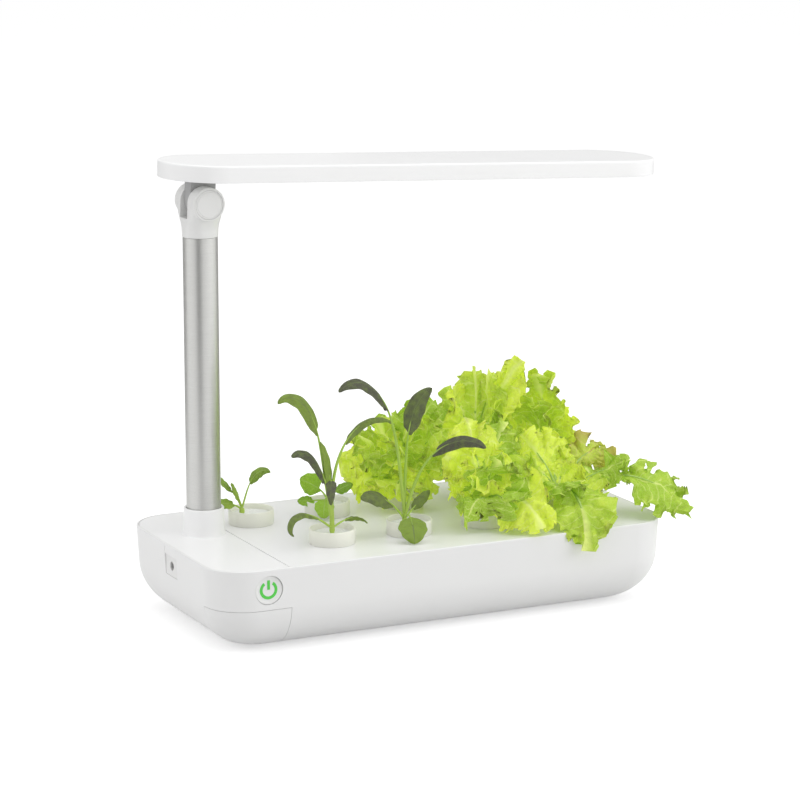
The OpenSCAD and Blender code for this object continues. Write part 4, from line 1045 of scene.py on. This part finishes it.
def lettuce_leaf(tip, wide, lean, chance, stalk, frill=1.0, tone=None, most=52):
    """A broad crumpled leaf with a frilled edge. It reaches tip, a share of the lettuces' height."""
    turn, length, bend = lettuce_bend([c * LETTUCE_H for c in tip], lean)
    half, blade_length = wide * LETTUCE_H * 0.58, length * (1 - stalk)
    at = rib_frame(length, bend)
    twisted = twister(turn, most)
    seed = Vector((chance.uniform(0, 90), chance.uniform(0, 90), chance.uniform(0, 90)))
    tone = chance.uniform(0, 1) if tone is None else tone
    # count of folds round the leaf, height, how far in they reach
    folds = [(chance.uniform(5, 7), 5.2, 1.7), (chance.uniform(12, 15), 4.2, 2.4),
             (chance.uniform(26, 31), 2.2, 4)]
    folds = [(*fold, chance.uniform(0, math.tau)) for fold in folds]
    # height of the crumples, and how fine they are along and across
    crumples = [(2.6, 0.06, 0.08, 3), (2.3, 0.15, 0.17, 9), (1.0, 0.42, 0.42, 4)]

    def wander(x, y, z):
        return noise.noise(seed + Vector((x, y, z)))

    def place(s, t):
        w = half * (0.09 + 0.91 * ease(min(1, s / 0.6))) * (1 - 0.15 * max(0, (s - 0.6) / 0.4) ** 2)
        x, y = blade_length * (s - 0.25 * t * t * s ** 3), t * w
        angle = math.atan2(y / half, (x / blade_length - 0.45) * 2)
        edge = max(abs(t), (s - 0.45) / 0.55)
        grow = min(1, 2.5 * s)
        lift = run = 0.0
        for count, swing, reach, phase in folds:
            drift = 2.4 * wander(math.cos(angle) * 1.7, math.sin(angle) * 1.7, count)
            size = swing * frill * grow * edge ** reach * (0.8 + 0.9 * wander(angle * 2.3, count, 0))
            lift += size * math.sin(count * angle + phase + drift)
            run -= 0.75 * size * math.sin(2 * (count * angle + phase + drift))
        lift += 0.12 * w * t * t
        for high, fine_x, fine_y, layer in crumples:
            lift += grow * high * wander(x * fine_x, y * fine_y, layer)
        tooth = grow * edge ** 4 * (11.0 * (0.36 - abs(wander(angle * 4.5, 1, 0)))
                                    + 7.0 * (0.26 - abs(wander(angle * 12, 2, 0))))
        x += tooth * math.cos(angle) - run * math.sin(angle)
        y += tooth * math.sin(angle) + run * math.cos(angle)
        u = stalk + x / length
        r, h, a = at(u)
        past = max(0, u - 1) * length
        r, h = r + past * math.sin(a), h + past * math.cos(a)
        return beside_rib(r, h, a, *twisted(y, lift, min(1, 2 * s)))

    blade = blade_mesh(58, 44, place, tone, 0.45)
    stem = stalk_mesh(length, bend, 2.0, 0.75, tone, wide=1.5)
    return turn_parts(turn, blade, stem)


def soft_limit(value, limit, sign, give=7.0):
    """Keeps value on its side of a limit, easing up to it."""
    past = sign * (value - limit) + give
    return value if past <= 0 else limit + sign * (-give + give * (1 - math.exp(-past / give)))


def keep_in_cell(obj, cell):
    """Presses a lettuce's leaves into its cell, and off the deck and the tank's front."""
    low_x, high_x, low_y, high_y, notch = cell
    notch_run, margin, off_deck, off_front = 18, 0.5, 0.8, 2.2
    for vertex in obj.data.vertices:
        x, y, z = (c / MM for c in vertex.co)
        x = soft_limit(soft_limit(x, low_x, -1), high_x, 1)
        near = low_y
        if notch:
            near = notch[1] + (low_y - notch[1]) * ease(clamp((x - notch[0]) / notch_run))
        y = soft_limit(soft_limit(y, near, -1), high_y, 1)
        over_base = abs(y) < BASE_WID / 2 + margin and x < BASE_LEN / 2 + margin
        if over_base and z > DECK_Z - 8:
            z = soft_limit(z, DECK_Z + off_deck, -1, 2.5)
        if z <= DECK_Z + margin and y > FRONT_Y - off_front:
            y = FRONT_Y - off_front
        vertex.co = Vector((x, y, z)) * MM


def plant_piece(key, parts, stem_finish, shift=0.0, cell=None):
    """Joins a plant's leaves and stalks and sets them on their pod."""
    x, y = PODS[key]
    root_end = SPONGE_Z - CROWN_Z - 9
    root_line = [(CORE, root_end), (1.5, root_end + 1), (1.7, -3), (2.3, -1), (2.0, 1.5), (CORE, 3)]
    root = turned("root", root_line, 20)
    count = len(root.data.vertices)
    tag(root, [0.0] * count, [0.0] * count, 0.5)
    blades, stems = [list(group) for group in zip(*parts)]
    stems.append(root)
    for group, finish in ((blades, SLOTS["plant_" + key]), (stems, stem_finish)):
        for part in group:
            if not part.data.materials:
                part.data.materials.append(FINISHES[finish])
    plant = join(*blades, *stems)
    plant.data.transform(Matrix.Translation(Vector((x + shift, y, CROWN_Z)) * MM))
    if cell:
        keep_in_cell(plant, cell)
    smooth(plant, 80)
    dress(plant, "plant_" + key, "holder_" + key, dressed=True)


# Leaves of the herbs and sprouts: direction, length, width, bend, stalk share, tone, fold and twist.
SMALL_PLANTS = {
    "b1": [(170, 0.34, 0.045, (12, 50, 0.6), 0.45, 0.4, 0.3, 50),
           (180, 0.22, 0.05, (13, 31, 1.3), 0.3, 0.6, 0.3, 50),
           (-10, 0.39, 0.065, (16, 142, 4), 0.5, 0.3, 0.5, 55),
           (168, 0.22, 0.08, (38, 100, 0.7), 0.3, 0.6, 0.1, 40)],
    "b2": [(180, 0.28, 0.15, (14, 72, 0.6), 0.36, 0.8, 0.03, 92),
           (176, 0.22, 0.08, (84, 88, 1), 0.45, 0.5, 0.1, 50),
           (240, 0.32, 0.13, (58, 162, 1.3), 0.5, 0.9, 0.03, 60),
           (-10, 0.22, 0.08, (40, 80, 1), 0.4, 0.2, 0.2, 40)],
    "f1": [(165, 1.1, 0.1, (8, 150, 6.9), 0.6, 0.72, 0.4, 55),
           (175, 0.62, 0.07, (2, 30, 4), 0.4, 0.9, 0.2, 60),
           (12, 1.08, 0.05, (0, 134, 2.2), 0.55, 0.55, 0.8, 40),
           (190, 0.73, 0.085, (9, 122, 3.7), 0.45, 0.0, 0.5, 62),
           (200, 0.55, 0.045, (55, 250, 3.4), 0.3, 0.45, 0.5, 50),
           (15, 0.34, 0.035, (66, 140, 1.8), 0.35, 0.6, 0.5, 40),
           (244, 0.7, 0.065, (0, 184, 2.0), 0.55, 0.05, 0.5, 0)],
    "f2": [(195, 1.35, 0.09, (7, 132, 3.7), 0.6, 0.0, 0.5, 62),
           (-10, 0.97, 0.125, (2, 66, 5.2), 0.62, 0.2, 0.35, 62),
           (-45, 0.94, 0.085, (15, 124, 2.3), 0.55, 0.0, 0.5, 62),
           (193, 0.46, 0.12, (38, 104, 1.8), 0.35, 0.3, 0.4, 62),
           (20, 0.3, 0.07, (50, 62, 1), 0.35, 0.5, 0.3, 50),
           (256, 0.42, 0.19, (47, 176, 1.2), 0.5, 1.0, 0.05, 0)],
}
ROOT_SHIFT = {"b1": -8, "f2": -4}

# Leaves of the lettuces: tip and width, as shares of the lettuces' height, and lean in degrees.
LETTUCES = {
    "b3": [((0.06, -0.1, 0.66), 0.34, -2), ((-0.36, -0.01, 0.42), 0.36, 8),
           ((-0.35, 0.28, 0.16), 0.4, 30), ((0.21, 0.26, 0.54), 0.38, 4), ((-0.11, -0.3, 0.37), 0.38, 12),
           ((0.2, -0.3, 0.5), 0.34, 8), ((0.26, 0, 0.67), 0.32, 2), ((-0.1, 0.4, 0.41), 0.42, 12),
           ((-0.2, -0.33, 0.1), 0.38, 34), ((0.22, -0.3, 0.2), 0.38, 28), ((-0.2, -0.05, 0.55), 0.3, 0),
           ((-0.4, -0.1, 0.14), 0.34, 34)],
    "b4": [((0.28, -0.24, 0.95), 0.34, 0.5), ((0, 0.04, 0.86), 0.26, -8), ((-0.16, 0.04, 0.75), 0.3, 2),
           ((0.25, 0.04, 0.64), 0.4, 8), ((0.05, 0.4, 0.64), 0.42, 10), ((-0.22, 0.31, 0.5), 0.42, 12),
           ((-0.05, -0.33, 0.55), 0.38, 10), ((0.23, -0.33, 0.36), 0.36, 22),
           ((0.23, 0.36, 0.36), 0.42, 22), ((-0.22, -0.3, 0.3), 0.36, 24),
           ((0.12, -0.12, 0.84), 0.3, -2)],
    "b5": [((-0.16, -0.19, 0.84), 0.26, -6), ((0.12, -0.1, 0.51), 0.34, 10),
           ((0.36, -0.15, 0.02), 0.3, 50), ((-0.2, -0.15, 0.64), 0.34, 2), ((-0.07, 0.4, 0.5), 0.4, 10),
           ((0.12, 0.38, 0.22), 0.34, 22), ((-0.2, -0.34, 0.34), 0.3, 12),
           ((-0.28, -0.2, 0.35), 0.34, 20), ((0.06, -0.34, 0.12), 0.26, 30), ((0.02, 0.1, 0.6), 0.3, 0)],
    "f3": [((-0.09, 0.14, 0.64), 0.34, 4), ((0.2, 0.09, 0.62), 0.36, 4), ((-0.28, -0.47, 0), 0.4, 34),
           ((0.22, -0.5, -0.04), 0.42, 32), ((-0.3, -0.06, 0.24), 0.34, 26), ((0.02, 0.34, 0.5), 0.4, 12),
           ((-0.05, -0.25, 0.42), 0.38, 12), ((-0.27, 0.12, 0.4), 0.38, 12),
           ((-0.02, -0.42, 0.12), 0.34, 26), ((0.24, 0.2, 0.35), 0.38, 14),
           ((0.23, -0.3, 0.24), 0.36, 22)],
    "f4": [((-0.01, 0.14, 0.34), 0.26, 4), ((-0.06, -0.55, -0.21), 0.37, 35),
           ((0.85, -0.42, -0.06), 0.42, 42), ((0.52, 0.28, 0.3), 0.24, 28), ((-0.25, 0.1, 0.5), 0.36, 10),
           ((-0.22, -0.36, 0.18), 0.36, 25), ((0.47, -0.18, 0.29), 0.2, 44),
           ((-0.1, 0.34, 0.42), 0.34, 10), ((-0.26, -0.05, 0.3), 0.36, 14),
           ((0.16, -0.32, 0.05), 0.3, 34), ((0.3, 0.1, 0.1), 0.26, 34)],
}
CELL_GAP = 0.3  # between a lettuce's leaves and the side of its cell
FAR_SIDE, FAR_END = 119, BASE_LEN / 2 + 34
# Single leaves that differ: share of stalk, edge colour, tone, most twist in degrees.
LONG_STALK = {("f4", 2): 0.38, ("f4", 3): 0.45, ("f4", 6): 0.5, ("b5", 2): 0.3}
BLUSHED = (("f4", 3),)
# Leaf (f4, 2) is set near the deep green as painted shade, to hold down the top light on it.
LEAF_TONES = {("f4", 1): 0.3, ("f4", 2): 0.1, ("f4", 3): 0.8, ("f3", 2): 0, ("f3", 8): 0, ("f3", 3): 1}
FLAT_LEAVES = {("f4", 2): 26, ("f4", 6): 30}
HEART_H = {"f4": 0.26}


def cell_of(key):
    """Plan limits of a lettuce's cell, and the corner that a neighbour's leaf crosses."""
    x, _ = PODS[key]
    half = POD_PITCH / 2 - CELL_GAP
    low_x = x - half - (POD_PITCH / 6 if key == "b3" else 0)
    high_x = FAR_END if key in ("b5", "f4") else x + half
    low_y, high_y = (MID_Y + CELL_GAP, FAR_SIDE) if key[0] == "b" else (-FAR_SIDE, MID_Y - CELL_GAP)
    notch = (PODS["f3"][0] - 11, FRONT_Y + 27) if key == "f3" else None
    return low_x, high_x, low_y, high_y, notch


def make_small_plants():
    """The sprout, the round-leaf plant and the two herbs."""
    for key, leaves in SMALL_PLANTS.items():
        parts = [herb_leaf(*leaf) for leaf in leaves]
        plant_piece(key, parts, "herb_stem", ROOT_SHIFT.get(key, 0))


def make_lettuces():
    """Lettuces of outer leaves at set places and a heart of small ones."""
    for key, leaves in LETTUCES.items():
        chance = random.Random(key)
        parts = []
        for k, (tip, wide, lean) in enumerate(leaves):
            leaf = (key, k)
            parts.append(lettuce_leaf(tip, wide, lean, chance, LONG_STALK.get(leaf, 0.12),
                                      tone=LEAF_TONES.get(leaf), most=FLAT_LEAVES.get(leaf, 52)))
            if leaf in BLUSHED:
                parts[-1][0].data.materials.append(FINISHES["lettuce_blush"])
        # small leaves in the heart, each a golden angle on from the last
        for k in range(5):
            turn = math.radians(137.5 * k + 40)
            out, up = 0.10 + 0.04 * k, HEART_H.get(key, 0.46) - 0.04 * k
            tip = (out * math.cos(turn), out * math.sin(turn), up)
            parts.append(lettuce_leaf(tip, 0.32, 3 * k, chance, 0.1, frill=0.9, tone=0.9))
        plant_piece(key, parts, "lettuce_stem", cell=cell_of(key))


# ---- All together ----


# Moulded parts: colour, roughness and, where they differ from the usual ones, grain and gloss.
PLASTICS = {
    "white_shell": ((0.84, 0.84, 0.835), 0.36),
    "white_deck": ((0.90, 0.90, 0.90), 0.3),
    "white_hinge": ((0.82, 0.82, 0.81), 0.34),
    "lamp_white": ((0.92, 0.92, 0.92), 0.32),
    # The lamp's top: the lamp white made darker, as painted shade.
    "lamp_top": ((0.86, 0.86, 0.86), 0.34),
    # The lamp's bracket: mid grey as painted shade under the lamp.
    "hinge_grey": ((0.42, 0.42, 0.42), 0.45),
    "white_button": ((0.82, 0.82, 0.81), 0.3),
    "nylon": ((0.60, 0.60, 0.58), 0.45),
    "grey_plastic": ((0.80, 0.80, 0.79), 0.4),
    "black_plastic": ((0.16, 0.16, 0.16), 0.4),
    "cable_black": ((0.03, 0.03, 0.03), 0.5),
    "led": ((0.85, 0.78, 0.35), 0.3),
    "circuit_board": ((0.02, 0.16, 0.06), 0.4, 500),
    "rubber": ((0.05, 0.05, 0.05), 0.75, 240, 0.3),
}
# Leaves: shades of the blade, colour of the ribs, and what differs from the usual leaf.
LEAVES = {
    "sprout_leaf": ((0.24, 0.38, 0.04), (0.46, 0.64, 0.09), (0.56, 0.72, 0.24), {"ribs_show": 0.3}),
    "round_leaf": ((0.26, 0.48, 0.035), (0.44, 0.68, 0.06), (0.56, 0.74, 0.2), {"ribs_show": 0.35}),
    "herb_leaf": ((0.10, 0.10, 0.068), (0.30, 0.44, 0.055), (0.20, 0.26, 0.09),
                  {"through": 0.25, "net": 800, "net_share": 0.3, "ribs_show": 0.3, "patch": 210,
                   "patches_from": (0.45, 1.35)}),
    # The lettuces' glow is painted light that brightens their leaves.
    "lettuce_leaf": ((0.48, 0.67, 0.065), (0.82, 0.91, 0.14), (0.88, 0.93, 0.40),
                     {"through": 0.48, "net": 420, "net_share": 0.22, "glow": 0.21}),
    "lettuce_blush": ((0.50, 0.62, 0.06), (0.66, 0.78, 0.12), (0.80, 0.66, 0.36),
                      {"through": 0.45, "net": 420, "net_share": 0.22, "glow": 0.18,
                       "blush": (0.50, 0.27, 0.09)}),
}


def make_finishes():
    for name, look in PLASTICS.items():
        FINISHES[name] = moulded_plastic(name, *look)
    for name, (deep, bright, rib, more) in LEAVES.items():
        FINISHES[name] = leaf_skin(name, deep, bright, rib, **more)
    for name, make, *look in (
            ("green_light", glowing_sign, (0.07, 0.50, 0.055), 0.22),
            ("brushed_tube", brushed_aluminium, (0.50, 0.50, 0.485), (0.58, 0.58, 0.565)),
            ("steel", bare_metal, (0.62, 0.62, 0.63), 0.3),
            ("led_board", bare_metal, (0.80, 0.80, 0.80), 0.4),
            ("diffuser", frosted_plastic, (0.88, 0.88, 0.86), 0.3),
            ("pod_clear", frosted_plastic, (0.98, 0.985, 0.90), 0.24),
            ("sponge", open_foam, (0.88, 0.89, 0.85)),
            ("herb_stem", juicy_stalk, (0.56, 0.74, 0.14), (0.38, 0.60, 0.09)),
            ("lettuce_stem", juicy_stalk, (0.62, 0.76, 0.30), (0.44, 0.66, 0.10))):
        FINISHES[name] = make(name, *look)


def finish_cad_nodes():
    """Gives each CAD node that stays shown the finish of its slot; the lamp's bracket gets a mid grey
    instead, as painted shade under the lamp.
    """
    for name, obj in frame["nodes"].items():
        obj.data.materials.clear()
        obj.data.materials.append(FINISHES["hinge_grey" if name == "lamp_bracket" else SLOTS[name]])


def main():
    bpy.context.scene.view_settings.view_transform = "Standard"
    aim_camera()
    light_world(WORLD_LIGHT)
    for name, light in LIGHTS.items():
        area_light(name, *light)
    lay_floor()
    for name, card in CARDS.items():
        grey_card(name, *card)
    make_finishes()
    finish_cad_nodes()
    for make in (make_tank, make_deck, make_tray, make_button, make_inlet, make_tube, make_head,
                 make_caps, make_lamp, make_pods, make_small_plants, make_lettuces):
        make()


main()
